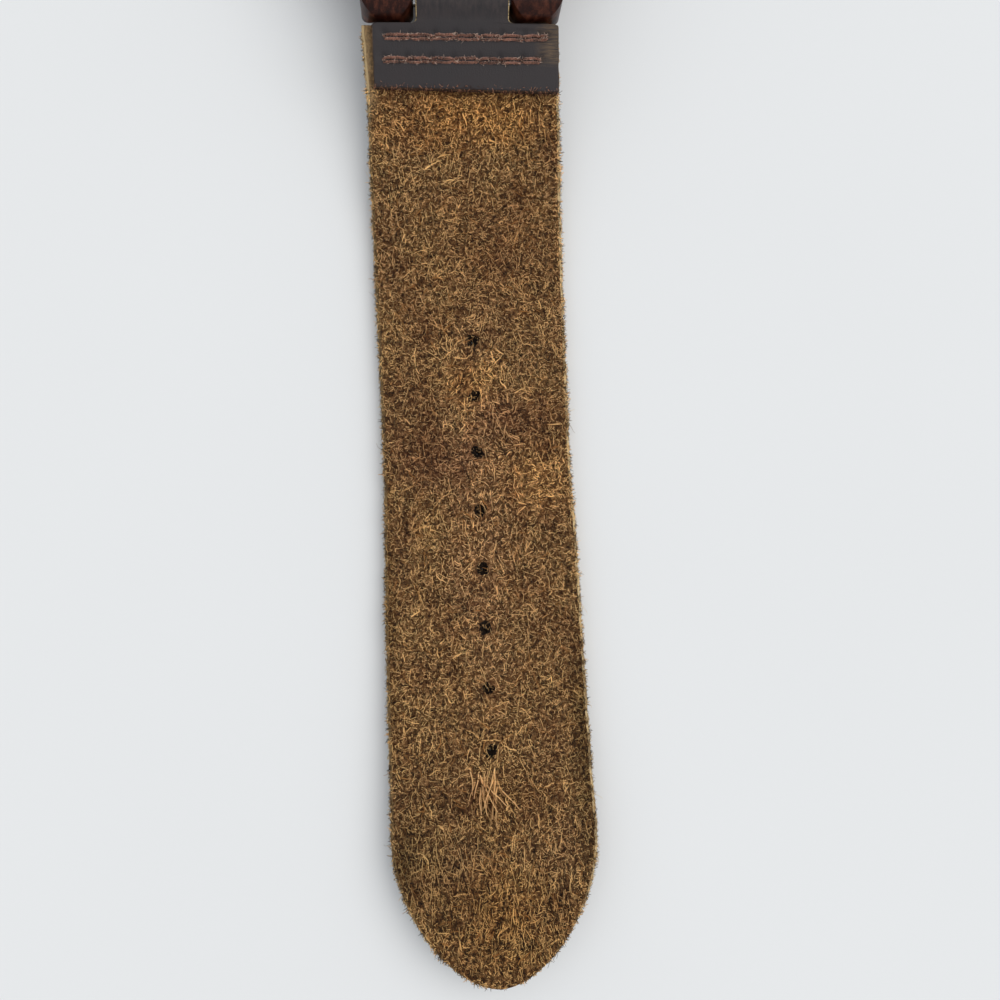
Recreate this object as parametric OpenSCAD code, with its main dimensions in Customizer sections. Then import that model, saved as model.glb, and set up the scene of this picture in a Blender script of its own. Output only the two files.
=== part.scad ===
// Wooden wristwatch lying face down, in millimetres.
// The origin is the centre of the crystal's outer face, which lies on the table.
// +Z points to the wrist side, the long strap runs to -Y, the buckle strap to +Y, the crown to -X.

/* [Case] */
// Diameter of the round wooden case
case_d = 45; // [42:0.5:48]
// Height of the wooden case body
case_h = 7; // [6.6:0.1:9]
// Bevel on the case body's edges
case_edge = 0.8; // [0.2:0.1:1.2]
// Wood between the bore and the case back screws' inserts
insert_wall = 0.55; // [0.4:0.05:0.7]

/* [Crystal and bezel] */
// Distance from the crystal's edge to the case's side
crystal_rim = 4.5; // [4.3:0.1:5.5]
// Thickness of the crystal
crystal_t = 1.5; // [1.2:0.1:2]
// How far the crystal stands out of the bezel
crystal_proud = 0.35; // [0.2:0.05:0.5]
// Radial thickness of the crystal's gasket
gasket_w = 0.3; // [0.2:0.05:0.4]
// Height of the wooden bezel
bezel_h = 3.05; // [2.6:0.05:3.6]
// Width of the ledge that carries the crystal
ledge_w = 1.6; // [1.2:0.1:2]
// Flat rim of the bezel beside the crystal
bezel_rim = 1.5; // [1:0.1:1.8]
// Step from the case side in to the bezel
bezel_step = 0.6; // [0.3:0.1:1]
// Height of the bezel's upright side
bezel_side_h = 1; // [0.6:0.1:1.6]

/* [Dial] */
// Height of the sloped ring between crystal ledge and dial
flange_h = 1.2; // [1.2:0.1:2]
// Slope of that ring, measured along the radius
flange_slope = 0.8; // [0.4:0.1:1.2]
// Thickness of the wooden dial
dial_t = 0.4; // [0.3:0.05:0.6]
// Length of an hour marker
marker_l = 2.8; // [1.5:0.1:4]
// Width of an hour marker
marker_w = 0.7; // [0.4:0.1:1.2]
// Height of an hour marker
marker_t = 0.25; // [0.1:0.05:0.3]
// Gap from the markers to the sloped ring
marker_margin = 0.8; // [0.4:0.1:1.5]

/* [Case back] */
// Thickness of the steel case back
back_t = 1.2; // [1:0.1:1.6]
// Rim of the case left bare round the case back
back_margin = 1; // [0.9:0.1:1.4]
// Height of the case back's inner ring
spigot_h = 0.6; // [0.5:0.05:0.8]
// Width of the case back's inner ring
spigot_w = 1; // [0.6:0.1:1.4]
// Radial width of the case back's gasket
back_gasket_w = 0.7; // [0.5:0.05:0.9]
// Shank diameter of a case back screw
screw_d = 0.9; // [0.7:0.1:1]
// Head diameter of a case back screw
screw_head_d = 1.9; // [1.6:0.1:2]
// Head height of a case back screw
screw_head_h = 0.5; // [0.3:0.05:0.6]
// Length of a case back screw below its head
screw_l = 3; // [2:0.1:3.6]

/* [Lugs and spring bars] */
// Width of one lug
lug_w = 6.5; // [5:0.1:7]
// Gap between a pair of lugs
lug_gap = 12; // [10:0.5:14]
// Radius of the rounded lug tip round the spring bar
lug_r = 2.3; // [2:0.05:2.5]
// Rounding of the lug tip's corners seen from above
lug_corner = 2.2; // [1:0.1:2.8]
// Distance of the spring bar from the side of the case
bar_off = 2.7; // [2.6:0.05:3.4]
// Depth of the spring bar below the top of the case body
bar_drop = 1.5; // [1.4:0.1:2]
// Diameter of a spring bar's tube
bar_d = 1.8; // [1.6:0.05:2]
// Wall of a spring bar's tube
bar_wall = 0.28; // [0.2:0.02:0.32]
// Diameter of a spring bar's tip
bar_tip_d = 0.8; // [0.7:0.05:0.95]
// How far a spring bar's tip enters the lug
bar_tip_l = 1.2; // [0.8:0.1:1.8]

/* [Crown] */
// Diameter of the crown
crown_d = 6.6; // [5.5:0.1:6.8]
// Length of the crown
crown_l = 3.5; // [3.3:0.1:4.5]
// Number of flutes round the crown
crown_flutes = 30; // [20:1:36]
// Gap between crown and case when pushed in
crown_gap = 0.3; // [0.2:0.05:0.5]
// Travel of the crown when pulled to set the time
crown_pull = 1; // [0.6:0.1:1]
// Outer diameter of the crown tube
tube_d = 2.5; // [2.2:0.1:2.8]
// Bore of the crown tube
tube_bore = 1.5; // [1.3:0.1:1.6]
// How far the tube still reaches past the travel of the pulled crown
tube_grip = 1.2; // [1:0.1:1.4]
// Diameter of the winding stem
stem_d = 0.9; // [0.8:0.05:1]

/* [Movement] */
// Diameter of the quartz movement
movement_d = 23.3; // [23.3:0.1:26]
// Thickness of the main plate
plate_t = 1.6; // [1.6:0.05:2]
// Depth of the recess for the hands' wheels, on the dial side
motion_h = 0.8; // [0.8:0.02:0.9]
// Height of the space for the gear train above the main plate
train_h = 1.5; // [1.5:0.02:1.6]
// Thickness of the train bridge
bridge_t = 0.4; // [0.3:0.05:0.5]
// Diameter of the battery
battery_d = 6.8; // [6.2:0.1:6.8]
// Thickness of the battery
battery_t = 2.1; // [1.6:0.1:2.1]
// Diameter of a wheel's arbor
arbor_d = 0.3; // [0.24:0.02:0.34]
// Thickness of a wheel
wheel_t = 0.15; // [0.1:0.01:0.16]

/* [Gear train] */
// Distance from the centre to the third wheel, and to the intermediate wheel
train_cd = 3.6; // [3.6:0.05:3.7]
// Distance from the intermediate wheel to the rotor
rotor_cd = 2.52; // [2.45:0.01:2.6]
// Distance from the centre to the minute wheel
motion_cd = 3.6; // [3.5:0.05:3.7]
// Direction of the third wheel from the centre
third_dir = 50; // [48:1:52]
// Direction of the intermediate wheel from the centre
inter_dir = 140; // [138:1:142]
// Direction of the minute wheel from the centre
minute_dir = 235; // [233:1:237]
// Direction of the setting wheel from the minute wheel
setting_dir = 160; // [158:1:162]

/* [Hands] */
// Length of the hour hand
hour_l = 8.5; // [7:0.1:9.5]
// Length of the minute hand
minute_l = 13; // [11:0.1:13.5]
// Length of the second hand
second_l = 13.6; // [11:0.1:14]
// Thickness of a hand
hand_t = 0.2; // [0.15:0.01:0.22]
// Height from the dial up to the hour hand, and from hand to hand
hand_step = 0.6; // [0.55:0.01:0.65]

/* [Strap leather] */
// Width of the strap
strap_w = 24; // [20:0.5:25]
// Thickness of the strap
strap_t = 2; // [1.6:0.1:2.4]
// Thickness of the turned-back end
flap_t = 1.2; // [0.8:0.1:1.5]
// Thickness of the leather round a bar
loop_t = 1.25; // [1:0.05:1.4]
// Distance from the spring bar to the strap's shoulders
shoulder = 3; // [2.9:0.1:4]
// Length of the turned-back end beyond the shoulders
flap_l = 8.1; // [7:0.1:10]
// How much narrower the turned-back end is than the strap
flap_inset = 0.8; // [0.2:0.1:1.5]

/* [Long strap] */
// Distance from the spring bar to the strap's tip, measured level
long_l = 117; // [105:1:125]
// Distance over which the strap comes down from the lugs to the table
long_fall = 36; // [30:1:38]
// How far the tip curls up from the table
tip_rise = 3; // [0:0.1:5]
// Length of the part that curls up
tip_rise_l = 58; // [30:1:60]
// Radius of each of the two arcs that form the tip
tip_r = 15.5; // [13:0.5:20]
// Number of buckle holes
holes = 8; // [5:1:9]
// Distance from the spring bar to the first hole, measured level
hole_start = 41.1; // [39:0.1:44]
// Distance from hole to hole
hole_pitch = 7.2; // [6:0.1:7.5]
// Diameter of a hole
hole_d = 2.2; // [1.8:0.1:2.6]

/* [Buckle strap] */
// Distance from the spring bar to the buckle's bar
short_l = 73; // [68:1:80]
// Distance over which the buckle strap comes down from the lugs
short_fall = 30; // [26:1:31]
// Width of the slot for the buckle's tongue
notch_w = 3.4; // [3:0.1:4]
// Length of the slot for the buckle's tongue
notch_l = 4.4; // [4:0.1:5.5]

/* [Keepers] */
// Width of a keeper along the strap
keeper_w = 5; // [4:0.5:6]
// Thickness of a keeper's leather
keeper_t = 1.2; // [1:0.1:1.5]
// Height of the space left for the long strap inside a keeper
tail_gap = 2.6; // [2.4:0.1:3]
// Travel of the free keeper each way along the strap
free_keeper_travel = 8; // [4:1:8]
// Gap left between the two keepers at the end of that travel
keeper_stop = 4; // [1:0.5:6]

/* [Buckle] */
// Distance from the buckle's bar to its end bar
buckle_l = 14.5; // [13:0.5:18]
// Width of a side arm of the buckle
arm_w = 2; // [1.6:0.1:2.6]
// Diameter of the buckle's end bar
end_bar_d = 2.7; // [2.5:0.1:3.2]
// Width of the tongue
tongue_w = 2.2; // [1.8:0.1:2.4]
// Thickness of the tongue
tongue_t = 1.15; // [0.9:0.05:1.2]

/* [Stitches] */
// Length of one stitch, from needle hole to needle hole
stitch_pitch = 2.9; // [2.4:0.1:3.2]
// Diameter of the thread
thread_d = 0.55; // [0.4:0.05:0.7]
// Distance from the shoulders to the first row
first_row = 1.35; // [1.2:0.05:2]
// Distance from the first row to the second row
row_pitch = 2.95; // [2.5:0.05:3.5]
// Distance from the strap's edge to a row's end
row_margin = 1.5; // [1.2:0.1:2.5]

/* [Fits] */
// Clearance between pieces that are pressed or laid together
fit = 0.03; // [0.02:0.01:0.05]
// Radial clearance between pieces that turn in each other
run = 0.06; // [0.05:0.01:0.08]
// Gap between soft pieces and what they lie beside
ease = 0.3; // [0.2:0.05:0.4]

/* [Hidden] */
$fn = 96;

// Levels from the table up
case_z0 = crystal_proud + bezel_h;
dial_z0 = case_z0 + flange_h;
dial_z1 = dial_z0 + dial_t;
plate_z1 = dial_z1 + plate_t;
bridge_z0 = plate_z1 + train_h;
bridge_z1 = bridge_z0 + bridge_t;
case_z1 = case_z0 + case_h;
back_z1 = case_z1 + back_t;

// Radii of the case, and those of the pieces that its side places
case_r = case_d / 2;
crystal_r = case_r - crystal_rim;
seat_r = crystal_r + gasket_w + 2 * fit;
ledge_r = crystal_r - ledge_w;
bore_r = seat_r + 0.1;
bezel_r = case_r - bezel_step;
back_r = case_r - back_margin;
spigot_r = bore_r - back_gasket_w - 2 * fit;
insert_r = screw_d / 2 + 0.55;
screw_ring_r = bore_r + insert_wall + insert_r;

// Spring bars
bar_r = bar_d / 2;
bar_y = case_r + bar_off;
bar_z = case_z1 - bar_drop;
bar_bore_r = bar_r + run;
loop_r = bar_bore_r + loop_t;
lug_tip_y = bar_y + lug_r;
bar_tube_l = lug_gap - 2 * ease;
bar_plunger_l = 2.5;

// Stem and crown
stem_r = stem_d / 2;
stem_z = plate_z1;
tube_r = tube_d / 2;
tube_out = crown_pull + tube_grip;
crown_r = crown_d / 2;
crown_x0 = case_r + crown_gap;
crown_x1 = crown_x0 + crown_l;
crown_cavity_l = tube_out - crown_gap + 0.25;
gasket_r = tube_r + 0.4;
stem_inner_x = 6.8;
groove_x = 9.8;
groove_l = 0.8;
pinion_x = 8.6;
pinion_l = 1;

// Movement
movement_r = movement_d / 2;
arbor_r = arbor_d / 2;
third_xy = polar(train_cd, third_dir);
inter_xy = polar(train_cd, inter_dir);
rotor_xy = polar(train_cd + rotor_cd, inter_dir);
minute_xy = polar(motion_cd, minute_dir);
setting_cd = setting_teeth_module() * (30 + 18) / 2;
setting_xy = minute_xy + polar(setting_cd, setting_dir);
pipe_bore_r = arbor_r + run;
pipe_r = pipe_bore_r + 0.2;
hour_bore_r = pipe_r + run;
hour_pipe_r = hour_bore_r + 0.22;
battery_xy = [3.7, -7];
posts = [[7, 0.6], [-7.7, 3], [-0.9, -4.8]];
post_r = 0.8;
coil_y = 8.9;
coil_l = 9.4;
coil_w = 2.4;

// Levels of the gear train, above the main plate
centre_wheel_z = plate_z1 + 0.08;
third_wheel_z = centre_wheel_z + wheel_t + 0.2;
seconds_wheel_z = third_wheel_z + wheel_t + 0.2;
inter_wheel_z = seconds_wheel_z + wheel_t + 0.15;
// Levels of the hands' wheels, above the dial
hour_wheel_z = dial_z1 + 0.1;
minute_wheel_z = hour_wheel_z + wheel_t + 0.15;

// Hands: each one's face nearest the dial, counted from the dial down to the crystal
hour_hand_z = dial_z0 - hand_step;
minute_hand_z = hour_hand_z - hand_step;
second_hand_z = minute_hand_z - hand_step;
hour_at = 305;
minute_at = 60;
second_at = 210;

// Straps: heights of the seam between strap and turned-back end
seam_over_bar = 0.3;
long_flat_z = strap_t;
tail_z = keeper_t + tail_gap;
short_flat_z = tail_z + strap_t;
buckle_y = bar_y + short_l;
buckle_z = short_flat_z - seam_over_bar;
arm_x = strap_w / 2 + ease;
end_bar_r = end_bar_d / 2;
end_bar_z = end_bar_r + 0.05;
buckle_arm_t = 2.4;
tongue_eye_r = bar_bore_r + 0.9;
fixed_keeper_y = buckle_y - flap_l - ease - keeper_w / 2;
free_keeper_y = fixed_keeper_y - keeper_w - keeper_stop - free_keeper_travel;
stitches_in_row = floor((strap_w - 2 * row_margin) / stitch_pitch);

function polar(r, a) = [r * cos(a), r * sin(a)];

// Module of a gear pair from its centre distance and tooth counts
function pair_module(distance, n_a, n_b) = 2 * distance / (n_a + n_b);
function setting_teeth_module() = pair_module(motion_cd, 10, 30);

// Turn of gear b that meshes it with gear a, turned by turn_a, with b in direction dir from a
function mesh_turn(turn_a, n_a, n_b, dir) = dir + 180 + (180 - n_a * (turn_a - dir)) / n_b;

// Outline of a gear with n teeth, one of them centred on the angle turn
function gear_points(n, m, turn) = [
    for (i = [0 : n - 1])
    for (c = [[-0.3, -1], [-0.11, 0.7], [0.11, 0.7], [0.3, -1]])
    polar(m * (n / 2 + c[1]), turn + 360 / n * (i + c[0]))
];

// Height of the seam at the distance u from the spring bar, and its slope
function seam_z(u, flat, fall, rise, rise_u) =
    flat + fall_part(u, bar_z + seam_over_bar - flat, fall) + rise_part(u, rise, rise_u);
function fall_part(u, drop, fall) = u < fall ? drop * pow(1 - u / fall, 2) : 0;
function rise_part(u, rise, rise_u) = u > rise_u ? rise * pow((u - rise_u) / tip_rise_l, 2) : 0;
function seam_slope(u, flat, fall, rise, rise_u) =
    (seam_z(u + 0.05, flat, fall, rise, rise_u) - seam_z(u - 0.05, flat, fall, rise, rise_u)) / 0.1;

// Points along the seam from u0 to u1, moved off it by d, for each strap
function off_seam(u, z, slope, d) =
    [bar_y + u - d * slope / sqrt(1 + slope * slope), z + d / sqrt(1 + slope * slope)];
function long_point(u, d) =
    off_seam(u, seam_z(u, long_flat_z, long_fall, tip_rise, long_l - tip_rise_l),
             seam_slope(u, long_flat_z, long_fall, tip_rise, long_l - tip_rise_l), d);
function short_point(u, d) =
    off_seam(u, seam_z(u, short_flat_z, short_fall, 0, short_l),
             seam_slope(u, short_flat_z, short_fall, 0, short_l), d);
function strap_point(long, u, d) = long ? long_point(u, d) : short_point(u, d);
function strap_band(long, u0, u1, d0, d1, n) = concat(
    [for (i = [0 : n]) strap_point(long, u0 + (u1 - u0) * i / n, d1)],
    [for (i = [n : -1 : 0]) strap_point(long, u0 + (u1 - u0) * i / n, d0)]
);

module ring(outer_r, inner_r, z0, z1) {
    translate([0, 0, z0])
        difference() {
            cylinder(r = outer_r, h = z1 - z0);
            translate([0, 0, -1]) cylinder(r = inner_r, h = z1 - z0 + 2);
        }
}

module disc(r, z0, z1) {
    translate([0, 0, z0]) cylinder(r = r, h = z1 - z0);
}

module block(x0, x1, y0, y1, z0, z1) {
    translate([x0, y0, z0]) cube([x1 - x0, y1 - y0, z1 - z0]);
}

// A round bar along X, centred on x = 0
module bar_x(r, l) {
    rotate([0, 90, 0]) cylinder(r = r, h = l, center = true);
}

// A round bar on the stem's line, from the distance x0 to x1 on the crown's side
module stem_bar(r, x0, x1) {
    translate([-x0, 0, stem_z]) rotate([0, -90, 0]) cylinder(r = r, h = x1 - x0);
}

// A side view in Y and Z, given the width w along X
module side_extrude(w) {
    rotate([90, 0, 90]) linear_extrude(height = w, center = true) children();
}

module toothed_disc(n, m, turn, z0, z1) {
    translate([0, 0, z0]) linear_extrude(height = z1 - z0) polygon(gear_points(n, m, turn));
}

// Case

module crystal() {
    color([0.85, 0.9, 0.92, 0.5])
        rotate_extrude()
        polygon([
            [0, 0], [crystal_r - 0.25, 0], [crystal_r, 0.25], [crystal_r, crystal_t], [0, crystal_t]
        ]);
}

module crystal_gasket() {
    color([0.1, 0.1, 0.1])
        ring(seat_r - fit, crystal_r + fit, crystal_proud + 0.1, crystal_t);
}

module bezel() {
    color([0.33, 0.17, 0.12])
        rotate_extrude()
        polygon([
            [ledge_r, case_z0], [ledge_r, crystal_t], [seat_r, crystal_t], [seat_r, crystal_proud],
            [seat_r + bezel_rim, crystal_proud], [bezel_r, case_z0 - bezel_side_h], [bezel_r, case_z0]
        ]);
}

module dial_flange() {
    color([0.72, 0.7, 0.66])
        rotate_extrude()
        polygon([
            [ledge_r, case_z0], [bore_r - fit, case_z0], [bore_r - fit, dial_z0],
            [ledge_r - flange_slope, dial_z0]
        ]);
}

module dial() {
    color([0.45, 0.27, 0.17])
        ring(bore_r - fit, hour_pipe_r + 0.15, dial_z0, dial_z1);
}

module hour_markers() {
    outer = ledge_r - flange_slope - marker_margin;
    color([0.85, 0.82, 0.76])
        for (hour = [0 : 11])
            rotate(hour * 30)
            block(-marker_w / 2, marker_w / 2, outer - marker_l, outer, dial_z0 - marker_t, dial_z0);
}

module lug_side() {
    // The lower edge sweeps from the case's side up to the tip
    p0 = [16, case_z0 + 0.6];
    p1 = [case_r, case_z0 + 0.9];
    p2 = [bar_y, bar_z - lug_r];
    sweep = [for (i = [0 : 10]) let (t = i / 10)
        pow(1 - t, 2) * p0 + 2 * t * (1 - t) * p1 + t * t * p2];
    polygon(concat(
        sweep,
        [[bar_y, bar_z + lug_r], [bar_y - 0.8, bar_z + lug_r - 0.06], [back_r + 0.3, case_z1], [16, case_z1]]
    ));
}

// Lugs run past the case wall to the radius 16 and are cut by the bore
module lug() {
    x0 = lug_gap / 2;
    x1 = x0 + lug_w;
    intersection() {
        union() {
            translate([(x0 + x1) / 2, 0, 0]) side_extrude(lug_w) lug_side();
            translate([(x0 + x1) / 2, bar_y, bar_z]) bar_x(lug_r, lug_w);
        }
        union() {
            block(x0, x1, 15, lug_tip_y - lug_corner, 0, back_z1 + 1);
            block(x0 + lug_corner, x1 - lug_corner, 15, lug_tip_y, 0, back_z1 + 1);
            for (x = [x0 + lug_corner, x1 - lug_corner])
                translate([x, lug_tip_y - lug_corner, 0]) cylinder(r = lug_corner, h = back_z1 + 1);
        }
    }
}

module each_lug() {
    for (side = [0, 1], end = [0, 1])
        mirror([side, 0, 0]) mirror([0, end, 0]) children();
}

module each_case_screw() {
    for (i = [0 : 3])
        rotate(45 + 90 * i) translate([screw_ring_r, 0, 0]) children();
}

module case_body() {
    color([0.33, 0.17, 0.12])
        difference() {
            union() {
                rotate_extrude()
                    polygon([
                        [0, case_z0], [case_r - case_edge, case_z0], [case_r, case_z0 + case_edge],
                        [case_r, case_z1 - case_edge], [case_r - case_edge, case_z1], [0, case_z1]
                    ]);
                each_lug() lug();
            }
            disc(bore_r, case_z0 - 1, back_z1 + 1);
            stem_bar(tube_r + fit, bore_r - 1, case_r + 2);
            each_case_screw() disc(insert_r + fit, case_z1 - screw_l - 0.4, case_z1 + 1);
            for (y = [-bar_y, bar_y])
                translate([0, y, bar_z]) bar_x(bar_tip_d / 2 + 0.05, lug_gap + 2 * bar_tip_l + 0.4);
        }
}

module screw_inserts() {
    color([0.78, 0.62, 0.3])
        each_case_screw() ring(insert_r, screw_d / 2 + fit, case_z1 - screw_l - 0.4, case_z1);
}

module case_back() {
    color([0.75, 0.75, 0.76])
        difference() {
            union() {
                rotate_extrude()
                    polygon([
                        [0, case_z1], [back_r, case_z1], [back_r, back_z1 - 0.5], [back_r - 0.5, back_z1],
                        [0, back_z1]
                    ]);
                ring(spigot_r, spigot_r - spigot_w, case_z1 - spigot_h, case_z1 + 0.1);
            }
            each_case_screw() disc(screw_d / 2 + 0.1, case_z1 - 1, back_z1 + 1);
            each_case_screw() disc(screw_head_d / 2 + 0.05, back_z1 - screw_head_h, back_z1 + 1);
        }
}

module case_back_gasket() {
    color([0.1, 0.1, 0.1])
        ring(bore_r - fit, spigot_r + fit, case_z1 - spigot_h, case_z1);
}

module case_back_screws() {
    color([0.6, 0.6, 0.62])
        each_case_screw()
        difference() {
            union() {
                disc(screw_d / 2, back_z1 - screw_head_h - screw_l, back_z1 - screw_head_h);
                disc(screw_head_d / 2, back_z1 - screw_head_h, back_z1 - 0.05);
            }
            block(-0.12, 0.12, -2, 2, back_z1 - 0.25, back_z1 + 1);
        }
}

module movement_holder() {
    color([0.9, 0.9, 0.88])
        difference() {
            ring(bore_r - fit, movement_r + fit, dial_z1, case_z1 - spigot_h - 0.1);
            stem_bar(stem_r + 0.25, movement_r - 1, bore_r + 1);
        }
}

// Crown

module crown_tube() {
    color([0.7, 0.7, 0.71])
        difference() {
            stem_bar(tube_r, bore_r + 0.2, case_r + tube_out);
            stem_bar(tube_bore / 2, bore_r - 1, case_r + tube_out + 1);
        }
}

module crown() {
    flutes = [for (i = [0 : crown_flutes - 1]) for (c = [[-0.25, 0], [0, -0.3], [0.25, 0]])
        polar(crown_r + c[1], 360 / crown_flutes * (i + c[0]))];
    color([0.72, 0.72, 0.73])
        difference() {
            union() {
                translate([-crown_x0 - 0.5, 0, stem_z]) rotate([0, -90, 0])
                    linear_extrude(height = crown_l - 1) polygon(flutes);
                stem_bar(crown_r - 0.3, crown_x0, crown_x1 - 0.3);
                stem_bar(crown_r - 0.7, crown_x0 + 1, crown_x1);
            }
            stem_bar(gasket_r + 2 * fit, crown_x0 - 1, crown_x0 + crown_cavity_l);
            stem_bar(stem_r + fit, crown_x0, crown_x0 + crown_cavity_l + 0.7);
        }
}

module crown_gasket() {
    color([0.1, 0.1, 0.1])
        difference() {
            stem_bar(gasket_r, crown_x0 + 0.5, crown_x0 + 1.1);
            stem_bar(tube_r + fit, crown_x0, crown_x0 + 2);
        }
}

module winding_stem() {
    color([0.62, 0.62, 0.64])
        difference() {
            stem_bar(stem_r, stem_inner_x, crown_x0 + crown_cavity_l + 0.65);
            difference() {
                stem_bar(stem_r + 0.2, groove_x - groove_l / 2, groove_x + groove_l / 2);
                stem_bar(stem_r - 0.17, groove_x - 1, groove_x + 1);
            }
        }
}

module sliding_pinion() {
    color([0.75, 0.75, 0.76])
        difference() {
            translate([-pinion_x, 0, stem_z]) rotate([0, 90, 0])
                linear_extrude(height = pinion_l) polygon(gear_points(12, 0.14, 0));
            stem_bar(stem_r + run, stem_inner_x - 1, pinion_x + 1);
        }
}

// The yoke's fork stands beside the pinion's outer face and pushes it inwards
module yoke() {
    x1 = -pinion_x - 0.1;
    color([0.6, 0.6, 0.62])
        difference() {
            union() {
                block(x1 - 0.25, x1, -1, 1, plate_z1 + 0.25, plate_z1 + 0.95);
                block(x1 - 0.25, x1 + 1.8, -3, -1, plate_z1 + 0.75, plate_z1 + 0.95);
            }
            stem_bar(stem_r + 0.1, pinion_x - 1, pinion_x + 1);
        }
}

// The lever's pin stands in the stem's groove and turns the lever when the stem is pulled
module setting_lever() {
    pivot_y = 3;
    color([0.6, 0.6, 0.62])
        translate([-groove_x, 0, plate_z1])
        union() {
            block(-0.35, 0.35, -0.3, pivot_y, 0.75, 0.95);
            translate([0, pivot_y, 0.02]) cylinder(r = 0.45, h = 0.93);
            translate([0, 0, stem_r - 0.13]) cylinder(r = 0.22, h = 0.6);
        }
}

// Movement

module main_plate() {
    color([0.82, 0.7, 0.42])
        difference() {
            disc(movement_r, dial_z1, plate_z1);
            // The recess for the hands' wheels
            disc(3.4, dial_z1 - 1, dial_z1 + motion_h);
            translate(minute_xy) disc(3.1, dial_z1 - 1, dial_z1 + motion_h);
            translate(setting_xy) disc(2, dial_z1 - 1, dial_z1 + motion_h);
            disc(pipe_r + run, dial_z1 - 1, plate_z1 + 1);
            for (xy = [third_xy, inter_xy, rotor_xy])
                translate(xy) disc(arbor_r + run, plate_z1 - 0.5, plate_z1 + 1);
            for (xy = [minute_xy, setting_xy])
                translate(xy) disc(arbor_r + run, dial_z1, plate_z1 - 0.3);
            stem_bar(stem_r + run, stem_inner_x - 0.3, movement_r + 1);
            block(-pinion_x - 0.5, -pinion_x + pinion_l + 0.8, -1.25, 1.25, plate_z1 - 1.15, plate_z1 + 1);
            block(-coil_l / 2 - 0.2, coil_l / 2 + 0.2, coil_y - coil_w / 2 - 0.2, movement_r,
                  plate_z1 - 0.7, plate_z1 + 1);
        }
}

module train_bridge() {
    outline = [
        [-8.5, 2.2], [-8.5, 3.8], [-5, 5.2], [3.6, 5], [7.8, 1.4], [7.8, -0.2], [3, -2.9], [0, -5.6],
        [-1.7, -5.6], [-1.7, -4], [-4, 0.8]
    ];
    color([0.82, 0.7, 0.42])
        difference() {
            union() {
                translate([0, 0, bridge_z0]) linear_extrude(height = bridge_t) polygon(outline);
                for (xy = posts)
                    translate(xy) disc(post_r, plate_z1, bridge_z0 + 0.1);
            }
            for (xy = [[0, 0], third_xy, inter_xy, rotor_xy])
                translate(xy) disc(arbor_r + run, bridge_z0 - 1, bridge_z1 + 1);
            for (xy = posts)
                translate(xy) disc(0.4 + fit, plate_z1 - 1, bridge_z1 + 1);
        }
}

module bridge_screws() {
    color([0.45, 0.48, 0.6])
        for (xy = posts)
            translate(xy)
            difference() {
                union() {
                    disc(0.4, plate_z1 + fit, bridge_z1 + 0.1);
                    disc(0.7, bridge_z1, bridge_z1 + 0.3);
                }
                block(-0.08, 0.08, -1, 1, bridge_z1 + 0.18, bridge_z1 + 1);
            }
}

// An arbor with a wheel near one end and a pinion
module arbor(z0, z1) {
    disc(arbor_r, z0, z1);
}

module third_wheel() {
    color([0.82, 0.68, 0.36])
        translate(third_xy)
        union() {
            arbor(plate_z1 - 0.4, bridge_z1 - 0.05);
            toothed_disc(45, pair_module(train_cd, 6, 45), mesh_turn(third_dir, 6, 45, third_dir),
                         third_wheel_z, third_wheel_z + wheel_t);
            toothed_disc(6, pair_module(train_cd, 6, 48), third_dir + 180,
                         centre_wheel_z - 0.03, third_wheel_z - 0.04);
            disc(arbor_r + 0.1, third_wheel_z - 0.05, third_wheel_z + 0.05);
        }
}

module centre_wheel() {
    color([0.82, 0.68, 0.36])
        difference() {
            union() {
                disc(pipe_r, minute_wheel_z + wheel_t + 0.1, centre_wheel_z + wheel_t);
                toothed_disc(48, pair_module(train_cd, 6, 48),
                             mesh_turn(third_dir + 180, 6, 48, third_dir + 180),
                             centre_wheel_z, centre_wheel_z + wheel_t);
            }
            disc(pipe_bore_r, dial_z1, bridge_z0);
        }
}

module cannon_pinion() {
    color([0.7, 0.7, 0.71])
        difference() {
            union() {
                disc(pipe_r, minute_hand_z - hand_t - 0.05, minute_wheel_z + wheel_t + 0.05);
                toothed_disc(10, setting_teeth_module(), minute_dir,
                             minute_wheel_z - 0.05, minute_wheel_z + wheel_t + 0.05);
            }
            disc(pipe_bore_r, 0, bridge_z0);
        }
}

module seconds_wheel() {
    color([0.82, 0.68, 0.36])
        union() {
            arbor(second_hand_z - hand_t - 0.1, bridge_z1 - 0.05);
            toothed_disc(30, pair_module(train_cd, 6, 30), mesh_turn(inter_dir + 180, 6, 30, inter_dir + 180),
                         seconds_wheel_z, seconds_wheel_z + wheel_t);
            toothed_disc(6, pair_module(train_cd, 6, 45), third_dir,
                         third_wheel_z - 0.04, third_wheel_z + wheel_t + 0.06);
            disc(arbor_r + 0.1, seconds_wheel_z - 0.1, seconds_wheel_z + 0.05);
        }
}

module intermediate_wheel() {
    color([0.9, 0.9, 0.86])
        translate(inter_xy)
        union() {
            arbor(plate_z1 - 0.4, bridge_z1 - 0.05);
            toothed_disc(36, pair_module(rotor_cd, 6, 36), mesh_turn(inter_dir + 180, 6, 36, inter_dir + 180),
                         inter_wheel_z, inter_wheel_z + wheel_t);
            toothed_disc(6, pair_module(train_cd, 6, 30), inter_dir + 180,
                         seconds_wheel_z - 0.04, seconds_wheel_z + wheel_t + 0.06);
            disc(arbor_r + 0.1, inter_wheel_z - 0.1, inter_wheel_z + 0.05);
        }
}

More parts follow.
